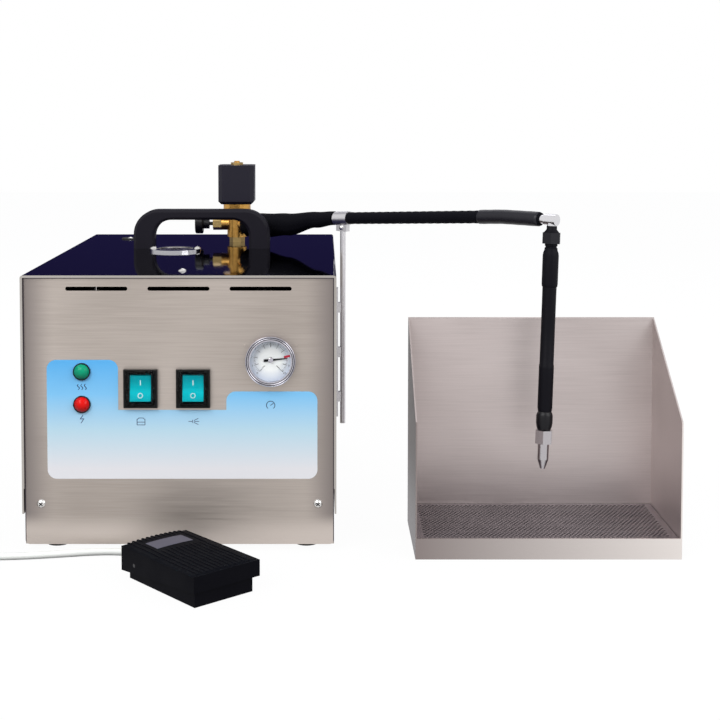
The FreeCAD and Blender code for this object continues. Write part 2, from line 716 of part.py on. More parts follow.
def base_tray():
    """Folded tray that carries the boiler and both panels."""
    long = rear_face - s.sheet - s.panel_back - s.sheet
    front = s.panel_back + s.sheet
    tray = block(2 * panel_half, long, s.tray_flange, -panel_half, front, s.foot_high)
    room = block(
        2 * panel_half - 2 * s.sheet, long - 2 * s.sheet, s.tray_flange,
        s.sheet - panel_half, front + s.sheet, tray_floor,
    )
    holes = [
        round_bar(s.screw_radius, s.screw_long, side * s.front_screw_x, s.panel_back, s.front_screw_z, "Y")
        for side in (-1, 1)
    ]
    rear_holes = [
        round_bar(s.gland_radius, s.screw_long, s.gland_x, rear_face - s.screw_long, s.gland_z, "Y"),
        round_bar(s.socket_radius, s.screw_long, s.socket_x, rear_face - s.screw_long, s.gland_z, "Y"),
    ]
    sub_part("base_tray", cut(tray, room, *holes, *rear_holes))


def rubber_feet():
    inset = s.foot_inset
    front, back = s.panel_back + inset, rear_face - inset
    feet = [
        taper(s.foot_radius, s.foot_radius - 1.5, s.foot_high, x, y, 0)
        for x in (inset - panel_half, panel_half - inset)
        for y in (front, back)
    ]
    sub_part("rubber_feet", group(*feet))


def front_panel():
    """Flat front sheet with the vents and the openings of the controls."""
    high = s.cover_top - s.hem_wide - s.foot_high
    body = new_body()
    sketch = sketch_on(body, "XZ_Plane", -s.panel_back)
    rectangle(sketch, as_size(0), s.foot_high + high / 2, 2 * panel_half, high)
    plate = feature(body, "Pad", sketch, s.sheet, reverse=True)
    soften(body, plate, s.panel_corner,
           lambda edge: runs_along(edge, V(0, 1, 0)) and near(edge.CenterOfMass.z, s.foot_high))
    holes = sketch_on(body, "XZ_Plane", -s.panel_back)
    for x in (s.switch_first_x, s.switch_second_x):
        rectangle(holes, x, s.switch_z, s.switch_wide + s.hole_gap, s.switch_high + s.hole_gap)
    for z in (s.heat_lamp_z, s.fault_lamp_z):
        circle(holes, s.lamp_x, z, s.lamp_body + s.hole_gap)
    circle(holes, s.gauge_x, s.gauge_z, s.gauge_case + s.hole_gap)
    for side in (-1, 1):
        circle(holes, side * s.front_screw_x, s.front_screw_z, s.screw_radius)
    for place_across in (-1, 0, 1):
        slot(holes, place_across * s.vent_pitch, s.vent_level, s.vent_long, s.vent_high)
    feature(body, "Pocket", holes, s.sheet * 2)
    sub_part("front_panel", body)


def rear_panel():
    """Rear sheet with rows of vent slots, the gland, the socket and the drain."""
    high = s.cover_top - s.sheet - s.foot_high
    body = new_body()
    sketch = sketch_on(body, "XZ_Plane", s.sheet - rear_face)
    rectangle(sketch, as_size(0), s.foot_high + high / 2, 2 * panel_half, high)
    feature(body, "Pad", sketch, s.sheet, reverse=True)
    holes = sketch_on(body, "XZ_Plane", s.sheet - rear_face)
    circle(holes, s.gland_x, s.gland_z, s.gland_radius - 2.5)
    circle(holes, s.socket_x, s.gland_z, s.socket_radius - 3)
    circle(holes, as_size(0), s.drain_z, s.drain_radius + s.hole_gap)
    for across in (-1, 0, 1):
        for row in range(6):
            slot(holes, across * s.vent_pitch, s.rear_vent_level + row * s.rear_vent_pitch, s.vent_long, s.vent_high)
    feature(body, "Pocket", holes, s.sheet * 2)
    sub_part("rear_panel", body)


def control_label():
    """Plastic film round the switches and lamps, stepped at its top."""
    body = new_body()
    sketch = sketch_on(body, "XZ_Plane", -film_front)
    outline(sketch, [
        (s.label_left, s.label_low), (s.label_right, s.label_low), (s.label_right, s.label_right_high),
        (s.label_rise_x, s.label_right_high), (s.label_rise_x, s.label_notch),
        (s.label_step_x, s.label_notch), (s.label_step_x, s.label_high), (s.label_left, s.label_high),
    ])
    film = feature(body, "Pad", sketch, s.label_thick, reverse=True)

    def outer_corner(edge):
        middle = edge.CenterOfMass
        return runs_along(edge, V(0, 1, 0)) and not near(middle.z, s.label_notch)

    soften(body, film, s.label_corner, outer_corner)
    holes = sketch_on(body, "XZ_Plane", -film_front)
    for x in (s.switch_first_x, s.switch_second_x):
        rectangle(holes, x, s.switch_z, s.switch_wide + s.hole_gap, s.switch_high + s.hole_gap)
    for z in (s.heat_lamp_z, s.fault_lamp_z):
        circle(holes, s.lamp_x, z, s.lamp_body + s.hole_gap)
    feature(body, "Pocket", holes, s.label_thick * 2)
    sub_part("control_label", body)


def switch_body(name, x):
    """Frame and body of a rocker switch with the well and the pin holes of its rocker."""
    tip = root(s.rocker_half * s.rocker_half + s.rocker_front * s.rocker_front)
    well_high = 2 * (tip + s.rocker_tip_gap)
    well_wide = s.rocker_wide + 2 * s.rocker_side_gap
    pin_y = s.rocker_front - s.bezel_thick
    well_end = pin_y + s.rocker_back + s.rocker_pin + 1
    pin_room = well_wide + 2 * s.rocker_pin_hold + 0.2
    frame = block(s.bezel_wide, s.bezel_thick, s.bezel_high, -s.bezel_wide / 2, -s.bezel_thick, -s.bezel_high / 2)
    body = block(s.switch_wide, s.switch_deep, s.switch_high, -s.switch_wide / 2, 0, -s.switch_high / 2)
    well = block(
        well_wide, well_end + s.bezel_thick, well_high, -well_wide / 2, -s.bezel_thick, -well_high / 2,
    )
    pin_hole = round_bar(s.rocker_pin + s.running_gap, pin_room, -pin_room / 2, pin_y, 0, "X")
    sub_part(name, cut(fused(frame, body), well, pin_hole), x, film_front, s.switch_z)


def switch_rocker(name, x):
    """Rocker with a hollow face and a pin, tilted with its upper end in."""
    shoulder = s.rocker_half - s.rocker_shoulder
    paddle = prism("YZ_Plane", [
        (-s.rocker_front, s.rocker_half), (s.rocker_dip - s.rocker_front, as_size(0)),
        (-s.rocker_front, -s.rocker_half), (as_size(0.5), -shoulder),
        (s.rocker_back, as_size(0)), (as_size(0.5), shoulder),
    ], s.rocker_wide, -s.rocker_wide / 2)
    pin_long = s.rocker_wide + 2 * s.rocker_side_gap + 2 * s.rocker_pin_hold
    rocker = fused(paddle, round_bar(s.rocker_pin, pin_long, -pin_long / 2, 0, 0, "X"))
    tilt = FreeCAD.Rotation(V(1, 0, 0), -number(s.rocker_tilt))
    pin_y = film_front + s.rocker_front - s.bezel_thick
    sub_part(name, rocker, x, pin_y, s.switch_z, tilt)


def switch_hoods():
    """Clear splash hoods over the two rockers."""
    front = film_front - s.bezel_thick
    hoods = []
    for x in (s.switch_first_x, s.switch_second_x):
        rim_wide, rim_high = s.hood_wide + 2 * s.hood_rim, s.hood_high + 2 * s.hood_rim
        rim = block(
            rim_wide, s.hood_wall, rim_high, x - rim_wide / 2, front - s.hood_wall, s.switch_z - rim_high / 2,
        )
        shell = block(
            s.hood_wide, s.hood_out, s.hood_high, x - s.hood_wide / 2, front - s.hood_out,
            s.switch_z - s.hood_high / 2,
        )
        wide, high = s.hood_wide - 2 * s.hood_wall, s.hood_high - 2 * s.hood_wall
        room = block(wide, s.hood_out, high, x - wide / 2, front - s.hood_out + s.hood_wall, s.switch_z - high / 2)
        hoods.append(cut(fused(rim, shell), room))
    sub_part("switch_hoods", group(*hoods))


def lamps():
    """Two round indicator lamps, each a lens in a dark rim with its body behind the panel."""
    rims = []
    for name, z in (("heating_lamp", s.heat_lamp_z), ("fault_lamp", s.fault_lamp_z)):
        seat = film_front - s.lamp_seat
        base = round_bar(s.lens_radius, s.lamp_rim_high - s.lamp_seat, 0, 0, 0, "-Y")
        cap = dome(s.lens_radius, s.lens_dome, 0, s.lamp_seat - s.lamp_rim_high, 0, "-Y")
        sub_part(name, fused(base, cap), s.lamp_x, seat, z)
        rim = turned([
            (as_size(0), -s.lamp_deep), (s.lamp_body, -s.lamp_deep), (s.lamp_body, as_size(0)),
            (s.lamp_rim, as_size(0)), (s.lamp_rim, s.lamp_rim_high), (s.lens_radius, s.lamp_rim_high),
            (s.lens_radius, s.lamp_seat), (as_size(0), s.lamp_seat),
        ])
        rims.append(place(rim, s.lamp_x, film_front, z, TURN["-Y"]))
    sub_part("lamp_bezels", group(*rims))


def gauge():
    """Pressure gauge let into the panel: case, dial, needle and glass."""
    zero = as_size(0)
    shelf = s.gauge_out - s.gauge_lip
    shaft_end = -s.dial_back - 3
    shaft_bore = s.needle_shaft + s.running_gap
    case = turned([
        (zero, -s.gauge_deep), (s.gauge_case, -s.gauge_deep), (s.gauge_case, zero), (s.gauge_radius, zero),
        (s.gauge_radius, s.gauge_out - 2), (s.gauge_radius - 2, s.gauge_out, 2.1), (s.gauge_bore - 1, s.gauge_out),
        (s.gauge_bore - 1, shelf), (s.gauge_bore, shelf), (s.gauge_bore, -s.dial_back),
        (shaft_bore, -s.dial_back), (shaft_bore, shaft_end - 0.3), (zero, shaft_end - 0.3),
    ])
    stem = round_bar(s.gauge_stem, s.gauge_stem_long, 0, 0, -s.gauge_deep, "-Z")
    spot = (s.gauge_x, s.panel_back, s.gauge_z)
    sub_part("gauge_case", fused(case, stem), *spot, TURN["-Y"])
    dial = cut(
        round_bar(s.gauge_bore, s.dial_thick, 0, 0, -s.dial_back),
        round_bar(s.needle_shaft + s.cap_gap, s.dial_thick, 0, 0, -s.dial_back),
    )
    sub_part("gauge_dial", dial, *spot, TURN["-Y"])
    glass = round_bar(s.gauge_bore, s.glass_thick, 0, 0, shelf - s.glass_thick)
    sub_part("gauge_glass", group(glass), *spot, TURN["-Y"])
    above = s.dial_thick - s.dial_back + 0.4
    blade = prism("XY_Plane", [
        (-s.needle_tail, as_size(-1.2)), (s.needle_long, as_size(-0.25)),
        (s.needle_long, as_size(0.25)), (-s.needle_tail, as_size(1.2)),
    ], 0.5, above)
    hub = round_bar(2.2, 1.2, 0, 0, above)
    shaft = round_bar(s.needle_shaft, above - shaft_end, 0, 0, shaft_end)
    aim = TURN["-Y"] * FreeCAD.Rotation(V(0, 0, 1), number(s.needle_angle))
    sub_part("gauge_needle", fused(blade, hub, shaft), *spot, aim)


def carry_handle():
    """Bow handle with bevelled edges, screwed down from inside."""
    outer, inner = s.handle_wide / 2, s.handle_wide / 2 - s.handle_leg
    high, room = s.handle_high, s.handle_high - s.handle_bar
    zero = as_size(0)
    body = new_body()
    sketch = sketch_on(body, "XZ_Plane", -s.handle_deep / 2)
    outline(sketch, [
        (outer, zero), (outer, high - s.handle_outer), (outer - s.handle_outer, high, s.handle_outer),
        (s.handle_outer - outer, high), (-outer, high - s.handle_outer, s.handle_outer), (-outer, zero),
        (-inner, zero), (-inner, room - s.handle_inner), (s.handle_inner - inner, room, -s.handle_inner),
        (inner - s.handle_inner, room), (inner, room - s.handle_inner, -s.handle_inner), (inner, zero),
    ])
    bow = feature(body, "Pad", sketch, s.handle_deep)

    def rim(edge):
        return not runs_along(edge, V(0, 1, 0)) and edge.BoundBox.ZMax > 0.1

    soften(body, bow, s.handle_bevel, rim, "Chamfer")
    holes = [
        round_bar(s.screw_radius, s.screw_long, side * handle_screw_x, 0, -s.sheet) for side in (-1, 1)
    ]
    sub_part("carry_handle", cut(body, *holes), 0, s.handle_y, s.cover_top)


def filler():
    """Ring round the filler neck and the screwed cap in its mouth."""
    ring = cut(
        round_bar(s.filler_ring, s.filler_ring_high),
        round_bar(s.neck_radius, s.filler_ring_high),
        *[round_bar(s.screw_radius, s.filler_ring_high, side * s.filler_screw_x) for side in (-1, 1)],
    )
    sub_part("filler_ring", ring, s.filler_x, s.filler_y, s.cover_top)
    plug = round_bar(s.neck_bore - s.cap_gap, s.cap_long - s.cap_gap - 0.6)
    socket = hexagon(7, 7, 0, 0, s.cap_long - s.cap_gap - 7)
    cap_z = s.cover_top + s.filler_ring_high - s.cap_long + s.cap_gap
    sub_part("filler_cap", cut(plug, socket), s.filler_x, s.filler_y, cap_z)


def boiler_form(wall):
    """Round boiler with bulged ends, drawn in by a wall."""
    radius, rise, zero = s.boiler_radius - wall, s.boiler_dome - wall, as_size(0)
    bulge = (radius * radius + rise * rise) / (2 * rise)
    body = turned([
        (zero, s.boiler_low - rise), (radius, s.boiler_low, bulge),
        (radius, s.boiler_high), (zero, s.boiler_high + rise, bulge),
    ])
    return place(body, 0, s.boiler_y, 0)


def boiler():
    """Pressure vessel with its filler neck, steam nipple, two bosses, heater port and drain pipe."""
    neck_top = s.cover_top + s.filler_ring_high
    nipple_top = s.cover_top + s.base_nut_high
    inward = s.boiler_radius / 2
    drain_end = rear_face + s.rear_back
    drain_start = s.boiler_y + inward
    outer = fused(
        boiler_form(as_size(0)),
        round_bar(s.neck_radius, neck_top - s.boiler_high, s.filler_x, s.filler_y, s.boiler_high),
        round_bar(s.nipple_radius, nipple_top - s.boiler_high, s.valve_x, s.valve_y, s.boiler_high),
        round_bar(s.fitting_radius, s.fitting_top - s.boiler_high, s.safety_x, s.safety_y, s.boiler_high),
        round_bar(s.fitting_radius, s.fitting_top - s.boiler_high, s.pressure_x, s.pressure_y, s.boiler_high),
        round_bar(s.heater_port, s.boiler_y - inward - s.heater_plate_y, 0, s.heater_plate_y, s.heater_z, "Y"),
        round_bar(s.drain_radius, drain_end - drain_start, 0, drain_start, s.drain_z, "Y"),
    )
    bore = s.nipple_radius / 2
    tools = [
        boiler_form(s.boiler_wall),
        round_bar(s.neck_bore - 2, neck_top - s.boiler_high, s.filler_x, s.filler_y, s.boiler_high),
        round_bar(s.neck_bore, s.cap_long, s.filler_x, s.filler_y, neck_top - s.cap_long),
        round_bar(bore, nipple_top - s.boiler_high, s.valve_x, s.valve_y, s.boiler_high),
        round_bar(s.heater_port - 4, s.boiler_y - inward - s.heater_plate_y, 0, s.heater_plate_y, s.heater_z, "Y"),
        round_bar(s.drain_radius - 2, drain_end - drain_start, 0, drain_start, s.drain_z, "Y"),
    ]
    sub_part("boiler", cut(outer, *tools))


def boiler_cradle():
    """Ring skirt that carries the boiler on the tray."""
    tall = s.boiler_low - tray_floor
    ring = cut(
        round_bar(s.cradle_radius, tall, 0, s.boiler_y, tray_floor),
        round_bar(s.cradle_radius - s.sheet, tall, 0, s.boiler_y, tray_floor),
    )
    sub_part("boiler_cradle", cut(ring, boiler_form(as_size(0))))


def heating_element():
    """Hairpin heater on a round plate, screwed to the boiler's port."""
    plate_thick, terminal = as_size(6), as_size(12)
    pieces = [round_bar(s.heater_plate, plate_thick, 0, -plate_thick, 0, "Y")]
    for side in (-1, 1):
        pieces.append(round_bar(s.heater_rod, s.heater_long + 1, side * s.heater_half, -1, 0, "Y"))
        pieces.append(round_bar(2.5, terminal, side * s.heater_half, -plate_thick - terminal, 0, "Y"))
    bend = doc.addObject("Part::Torus", "Bend")
    bind(bend, "Radius1", s.heater_half)
    bind(bend, "Radius2", s.heater_rod)
    bend.Angle3 = 180
    pieces.append(place(bend, 0, s.heater_long, 0))
    sub_part("heating_element", fused(*pieces), 0, s.heater_plate_y, s.heater_z)


def boiler_fittings():
    """Safety valve and pressure switch on the boiler's bosses."""
    valve = fused(hexagon(9, 8), round_bar(5.5, 16), round_bar(2.2, 22))
    sub_part("safety_valve", valve, s.safety_x, s.safety_y, s.fitting_top)
    switch = fused(hexagon(9, 6), round_bar(15, 10, 0, 0, 6), middle_block(16, 8, 7, 0, 0, 16))
    sub_part("pressure_switch", switch, s.pressure_x, s.pressure_y, s.fitting_top)
    start = s.panel_back + s.gauge_deep + s.gauge_stem_long
    run = round_bar(3, s.boiler_y - start, s.gauge_x, start, s.gauge_z, "Y")
    sub_part("gauge_pipe", cut(run, boiler_form(as_size(0))))


def control_board():
    """Relay board on four posts at the front left of the tray."""
    face = tray_floor + s.board_stand
    right, back = s.board_x + s.board_wide, s.board_y + s.board_long
    pieces = [block(s.board_wide, s.board_long, s.board_thick, s.board_x, s.board_y, face)]
    for x in (s.board_x + 5, right - 5):
        for y in (s.board_y + 5, back - 5):
            pieces.append(round_bar(3, s.board_stand, x, y, tray_floor))
    top = face + s.board_thick
    pieces.append(block(30, 26, 25, s.board_x + 6, s.board_y + 12, top))
    pieces.append(block(18, 16, 16, right - 24, s.board_y + 14, top))
    pieces.append(block(s.board_wide - 12, 10, 12, s.board_x + 6, back - 16, top))
    sub_part("control_board", fused(*pieces))


def rear_fittings():
    """Mains gland, pedal socket and drain plug."""
    zero = as_size(0)
    thread = s.gland_radius - 2.5
    gland = turned([
        (s.gland_bore, as_size(-10)), (thread, as_size(-10)), (thread, zero), (s.gland_radius, zero),
        (s.gland_radius, as_size(5)), (s.gland_radius - 1, as_size(5)), (s.gland_radius - 1, s.gland_long - 3),
        (s.gland_bore + 1.5, s.gland_long), (s.gland_bore, s.gland_long),
    ])
    sub_part("mains_gland", gland, s.gland_x, rear_face, s.gland_z, TURN["Y"])
    shell = s.socket_radius - 3
    socket = turned([
        (zero, as_size(-12)), (shell, as_size(-12)), (shell, zero), (s.socket_radius, zero),
        (s.socket_radius, as_size(2)), (s.socket_radius - 2, as_size(2)), (s.socket_radius - 2, s.socket_long),
        (s.socket_bore, s.socket_long), (s.socket_bore, as_size(-6)), (zero, as_size(-6)),
    ])
    sub_part("pedal_socket", socket, s.socket_x, rear_face, s.gland_z, TURN["Y"])
    plug = fused(
        hexagon(s.drain_plug_radius, s.drain_plug_long, 0, 0, 0, "Y"),
        round_bar(s.drain_radius - 2, 8, 0, 0, 0, "-Y"),
    )
    sub_part("drain_plug", plug, 0, rear_face + s.rear_back, s.drain_z)


def steam_valve():
    """Solenoid valve on the steam nipple: brass body, coil, plunger, nuts and the regulator knob."""
    low = s.cover_top + s.base_nut_high
    hub_top = low + s.valve_hub_high
    along_arm = FreeCAD.Rotation(V(0, 0, 1), number(s.arm_turn)) * TURN["X"]
    outlet = place(round_bar(s.outlet_radius, s.arm_start), 0, 0, s.arm_low, along_arm)
    stud_top = s.coil_high + s.coil_nut_high + 1.5
    zero = as_size(0)
    core = turned([
        (zero, low), (s.valve_hub, low), (s.valve_hub, hub_top), (s.valve_neck, hub_top),
        (s.valve_neck, s.valve_flange_low), (s.valve_flange, s.valve_flange_low), (s.valve_flange, s.coil_low),
        (s.armature_tube, s.coil_low), (s.armature_tube, s.coil_high), (s.coil_stud, s.coil_high),
        (s.coil_stud, stud_top), (zero, stud_top),
    ])
    body = fused(fused(core, round_bar(s.valve_side_radius, s.valve_side, 0, 0, s.knob_z, "-X")), outlet)
    bore = round_bar(s.armature_bore, s.armature_high - s.armature_low, 0, 0, s.armature_low)
    spot = (s.valve_x, s.valve_y)
    sub_part("valve_body", cut(body, bore), *spot)
    plunger = round_bar(s.plunger_radius, s.plunger_long, 0, 0, s.armature_low + s.cap_gap)
    sub_part("valve_plunger", group(plunger), *spot)
    gland_bore = s.stem_radius + s.running_gap
    nuts = [
        cut(hexagon(s.nut_radius, s.base_nut_high, 0, 0, s.cover_top),
            round_bar(s.nipple_radius, s.base_nut_high, 0, 0, s.cover_top)),
        cut(hexagon(6.5, s.coil_nut_high, 0, 0, s.coil_high),
            round_bar(s.coil_stud, s.coil_nut_high, 0, 0, s.coil_high)),
        cut(hexagon(6.9, s.gland_nut_long, -s.valve_side, 0, s.knob_z, "-X"),
            round_bar(gland_bore, s.gland_nut_long, -s.valve_side, 0, s.knob_z, "-X")),
    ]
    sub_part("valve_nuts", group(*nuts), *spot)
    hub_end = s.stem_long + s.knob_hub_long
    knob = turned([
        (zero, as_size(-7)), (s.stem_radius, as_size(-7)), (s.stem_radius, s.stem_long), (s.knob_hub, s.stem_long),
        (s.knob_hub, hub_end), (s.knob_radius - 1, hub_end), (s.knob_radius, hub_end + 1),
        (s.knob_radius, hub_end + s.knob_thick - 1), (s.knob_radius - 1, hub_end + s.knob_thick),
        (zero, hub_end + s.knob_thick),
    ])
    knob_x = s.valve_x - s.valve_side - s.gland_nut_long
    sub_part("regulator_knob", knob, knob_x, s.valve_y, s.knob_z, TURN["-X"])


def solenoid_coil():
    """Moulded coil with bevelled corners over the armature tube, with its plug box behind."""
    side, bevel = s.coil_wide / 2, s.coil_bevel
    body = new_body()
    sketch = sketch_on(body, "XY_Plane", s.coil_low)
    outline(sketch, [
        (-side, bevel - side), (bevel - side, -side), (side - bevel, -side), (side, bevel - side),
        (side, side - bevel), (side - bevel, side), (bevel - side, side), (-side, side - bevel),
    ])
    case = feature(body, "Pad", sketch, s.coil_high - s.coil_low)
    soften(body, case, s.coil_foot_bevel, lambda edge: edge.BoundBox.ZMax < number(s.coil_low) + 0.01, "Chamfer")
    hole = sketch_on(body, "XY_Plane", s.coil_high)
    circle(hole, as_size(0), as_size(0), s.armature_tube)
    feature(body, "Pocket", hole, (s.coil_high - s.coil_low) * 1.1)
    plug = middle_block(26, 16, 27, 0, side + 7, s.coil_low + 7)
    sub_part("solenoid_coil", fused(body, plug), s.valve_x, s.valve_y)


def arm_path():
    """Line of the steam arm in its own upright plane: level, rising, gently rising and level again."""
    points = [
        V(number(s.arm_start), 0, number(s.arm_low)),
        V(number(s.arm_rise_from), 0, number(s.arm_low)),
        V(number(s.arm_rise_to), 0, number(s.arm_middle)),
        V(number(s.arm_level_from), 0, number(s.arm_high)),
        V(number(s.arm_reach) - 1.5, 0, number(s.arm_high)),
    ]
    return bent_wire(points, [number(s.arm_bend)] * 3)


def arm_stretch(radius, start, end):
    """The part of a tube along the arm between two distances from the valve."""
    whole = tube(arm_path(), number(radius))
    long = number(end) - number(start)
    room = Part.makeBox(long, 100, 200, V(number(start), -50, 180))
    return whole.common(room)


def steam_arm():
    """Steel pipe from the valve to the lance with its heat wrap, end sleeve and padded boot."""
    spot = (s.valve_x, s.valve_y, 0, FreeCAD.Rotation(V(0, 0, 1), number(s.arm_turn)))
    pipe = tube(arm_path(), number(s.pipe_radius))
    sub_part("arm_pipe", shaped(pipe), *spot)
    wrap = arm_stretch(s.wrap_radius, s.wrap_from, s.wrap_to)
    sub_part("arm_wrap", shaped(wrap.cut(pipe)), *spot)
    sleeve = arm_stretch(s.sleeve_radius, s.sleeve_from, s.wrap_to - 1)
    sub_part("arm_sleeve", shaped(sleeve.cut(wrap).cut(pipe)), *spot)
    rings = []
    for along, level, radius in (
        (s.arm_start + 1, s.arm_low, 10.4),
        (s.arm_start + 5, s.arm_low + 0.4, 12.4),
        (as_size(40), s.arm_low + 0.8, 12.55),
        (as_size(76), s.arm_low + 3.9, 11.5),
        (as_size(117), s.arm_middle - 1.5, 8.1),
        (s.clamp_at - s.clamp_wide / 2 - 2, s.arm_middle + 0.9, 6.9),
    ):
        ring = doc.addObject("Part::Circle", "Ring")
        bind(ring, "Radius", radius)
        rings.append(place(ring, along, 0, level, TURN["X"]))
    boot = doc.addObject("Part::Loft", "Boot")
    boot.Sections = rings
    boot.Solid = True
    boot.Ruled = False
    sub_part("arm_boot", cut(boot, shaped(pipe.fuse(wrap))), *spot)


def clamp_and_rod():
    """Strap clamp round the arm, the rod that carries it and the two brackets on the casing's side."""
    start, end = s.clamp_at - s.clamp_wide / 2, s.clamp_at + s.clamp_wide / 2
    wrap = arm_stretch(s.wrap_radius, s.wrap_from, s.wrap_to)
    pipe = tube(arm_path(), number(s.pipe_radius))
    strap = arm_stretch(s.wrap_radius + s.clamp_thick, start, end)
    middle = number(s.clamp_at)
    wide = number(s.clamp_wide)
    rise = number(s.arm_high - s.arm_middle) / number(s.arm_level_from - s.arm_rise_to)
    level = number(s.arm_middle) + rise * number(s.clamp_at - s.arm_rise_to)
    foot_z = level - number(s.wrap_radius + s.clamp_thick + s.clamp_tab)
    tab = Part.makeBox(wide - 4, 5, number(s.clamp_tab) + 2, V(middle - wide / 2 + 2, -2.5, foot_z))
    clamp = strap.fuse(tab).cut(wrap).cut(pipe).removeSplitter()
    spot = (s.valve_x, s.valve_y, 0, FreeCAD.Rotation(V(0, 0, 1), number(s.arm_turn)))
    sub_part("pipe_clamp", shaped(clamp), *spot)
    sub_part("support_rod", group(round_bar(s.rod_radius, foot_z - s.rod_low)), rod_x, rod_y, s.rod_low)
    brackets = []
    for low in (s.bracket_low, s.bracket_upper):
        plate = block(s.bracket_out, s.bracket_deep, s.bracket_high, cover_half, rod_y - s.bracket_deep / 2, low)
        brackets.append(cut(plate, round_bar(s.rod_radius, s.bracket_high, rod_x, rod_y, low)))
    sub_part("rod_brackets", group(*brackets))


def lance():
    """Steam lance that hangs from the arm's end and swings on it."""
    at_x = s.valve_x + s.arm_reach * cosine(s.arm_turn)
    at_y = s.valve_y + s.arm_reach * sine(s.arm_turn)
    turn = FreeCAD.Rotation(V(0, 0, 1), number(s.arm_turn)) * FreeCAD.Rotation(V(1, 0, 0), number(s.lance_lean))
    spot = (at_x, at_y, s.arm_high, turn)
    elbow = fused(
        round_bar(s.elbow_radius, s.elbow_long + s.elbow_radius, -s.elbow_long, 0, 0, "X"),
        round_bar(s.lance_neck, s.lance_nut_from, 0, 0, 0, "-Z"),
    )
    socket = round_bar(s.pipe_radius + s.running_gap, s.elbow_long - 0.5, -s.elbow_long, 0, 0, "X")
    sub_part("lance_elbow", cut(elbow, socket), *spot)
    nut_to = s.lance_nut_from + s.lance_nut_long
    nut = hexagon(s.lance_nut_radius, s.lance_nut_long, 0, 0, -nut_to)
    sub_part("lance_nut", group(nut), *spot)
    zero = as_size(0)
    grip_from = nut_to + 4
    stem = turned([
        (zero, -nut_to), (zero, -s.lower_to), (s.lower_radius, -s.lower_to), (s.lower_radius, -s.tube_to),
        (s.tube_radius, -s.tube_to), (s.tube_radius, -s.grip_to), (s.grip_radius, -s.grip_to + 1),
        (s.grip_radius, -grip_from), (s.tube_radius - 0.4, -nut_to),
    ])
    sub_part("lance_tube", stem, *spot)
    collar_to = s.lower_to + s.collar_long
    collar = hexagon(s.collar_radius, s.collar_long, 0, 0, -collar_to)
    sub_part("lance_collar", group(collar), *spot)
    hex_to = collar_to + s.tip_nut_long
    nozzle = fused(
        hexagon(s.tip_nut_radius, s.tip_nut_long, 0, 0, -hex_to),
        round_bar(s.nozzle_radius, s.nozzle_to - hex_to, 0, 0, -s.nozzle_to),
        taper(s.tip_radius, s.nozzle_radius, s.tip_to - s.nozzle_to, 0, 0, -s.tip_to),
    )
    sub_part("nozzle", cut(nozzle, round_bar(s.steam_bore, 20, 0, 0, -s.tip_to)), *spot)


def booth():
    """Folded steel booth, open at the front and top, with a lip, slanted sides and two ledges."""
    wide, deep, zero = s.booth_wide, s.booth_deep, as_size(0)
    shell = prism("YZ_Plane", [
        (zero, zero), (deep, zero), (deep, s.booth_high), (zero, s.booth_side),
    ], wide)
    inner = wide - 2 * s.booth_wall
    tub = block(inner, deep - 2 * s.booth_wall, s.booth_high, s.booth_wall, s.booth_wall, s.booth_wall)
    ledge_z = s.grille_top - s.grille_thick - s.booth_wall
    ledges = [
        block(s.ledge_wide, deep - 2 * s.booth_wall, s.booth_wall, x, s.booth_wall, ledge_z)
        for x in (s.booth_wall, wide - s.booth_wall - s.ledge_wide)
    ]
    mouth_end = block(inner, deep - 2 * s.booth_wall + 1, s.booth_high, s.booth_wall, -1, s.booth_lip)
    sub_part("booth", fused(cut(shell, tub, mouth_end), *ledges), s.booth_left, s.booth_front)


def grille():
    """Lift-out grille with a lattice of diamond openings."""
    wide = number(s.booth_wide - 2 * s.booth_wall - 2 * s.grille_gap)
    deep = number(s.booth_deep - 2 * s.booth_wall - 2 * s.grille_gap)
    pitch_x, pitch_y = number(s.grille_pitch_x), number(s.grille_pitch_y)
    web, edge = number(s.grille_web), number(s.grille_edge)
    long, high = pitch_x / 2 - web * 0.75, pitch_y / 2 - web * 0.65
    wires = [Part.makePolygon([V(0, 0), V(wide, 0), V(wide, deep), V(0, deep), V(0, 0)])]
    columns = int((wide - 2 * edge) / pitch_x)
    rows = int((deep - 2 * edge) / pitch_y)
    left, front = (wide - (columns - 1) * pitch_x) / 2, (deep - (rows - 1) * pitch_y) / 2
    for row in range(2 * rows - 1):
        odd = row % 2
        y = front + row * pitch_y / 2
        for column in range(columns - odd):
            x = left + (column + odd / 2) * pitch_x
            corners = [V(x - long, y), V(x, y - high), V(x + long, y), V(x, y + high), V(x - long, y)]
            wires.append(Part.makePolygon(corners))
    print("grille openings", len(wires) - 1)
    face = Part.Face(wires, "Part::FaceMakerBullseye")
    plate = face.extrude(V(0, 0, number(s.grille_thick)))
    inset = s.booth_wall + s.grille_gap
    sub_part("grille", shaped(plate), s.booth_left + inset, s.booth_front + inset, s.grille_top - s.grille_thick)


pedal_spot = (s.pedal_x, s.pedal_y, 0, FreeCAD.Rotation(V(0, 0, 1), number(s.pedal_turn)))


def pedal_base():
    """Open tray with the two hinge lugs and the floor for the spring and the switch."""
    wide, long, wall = s.pedal_base_wide, s.pedal_base_long, s.pedal_wall
    tray = cut(
        block(wide, long, s.pedal_base_high),
        block(wide - 2 * wall, long - 2 * wall, s.pedal_base_high, wall, wall, wall),
    )
    lugs = [block(5, 8, s.hinge_z + 4 - wall, x, s.hinge_y - 4, wall) for x in (as_size(4), wide - 9)]
    pin_hole = round_bar(s.hinge_pin, wide, 0, s.hinge_y, s.hinge_z, "X")
    sub_part("pedal_base", cut(fused(tray, *lugs), pin_hole), *pedal_spot)


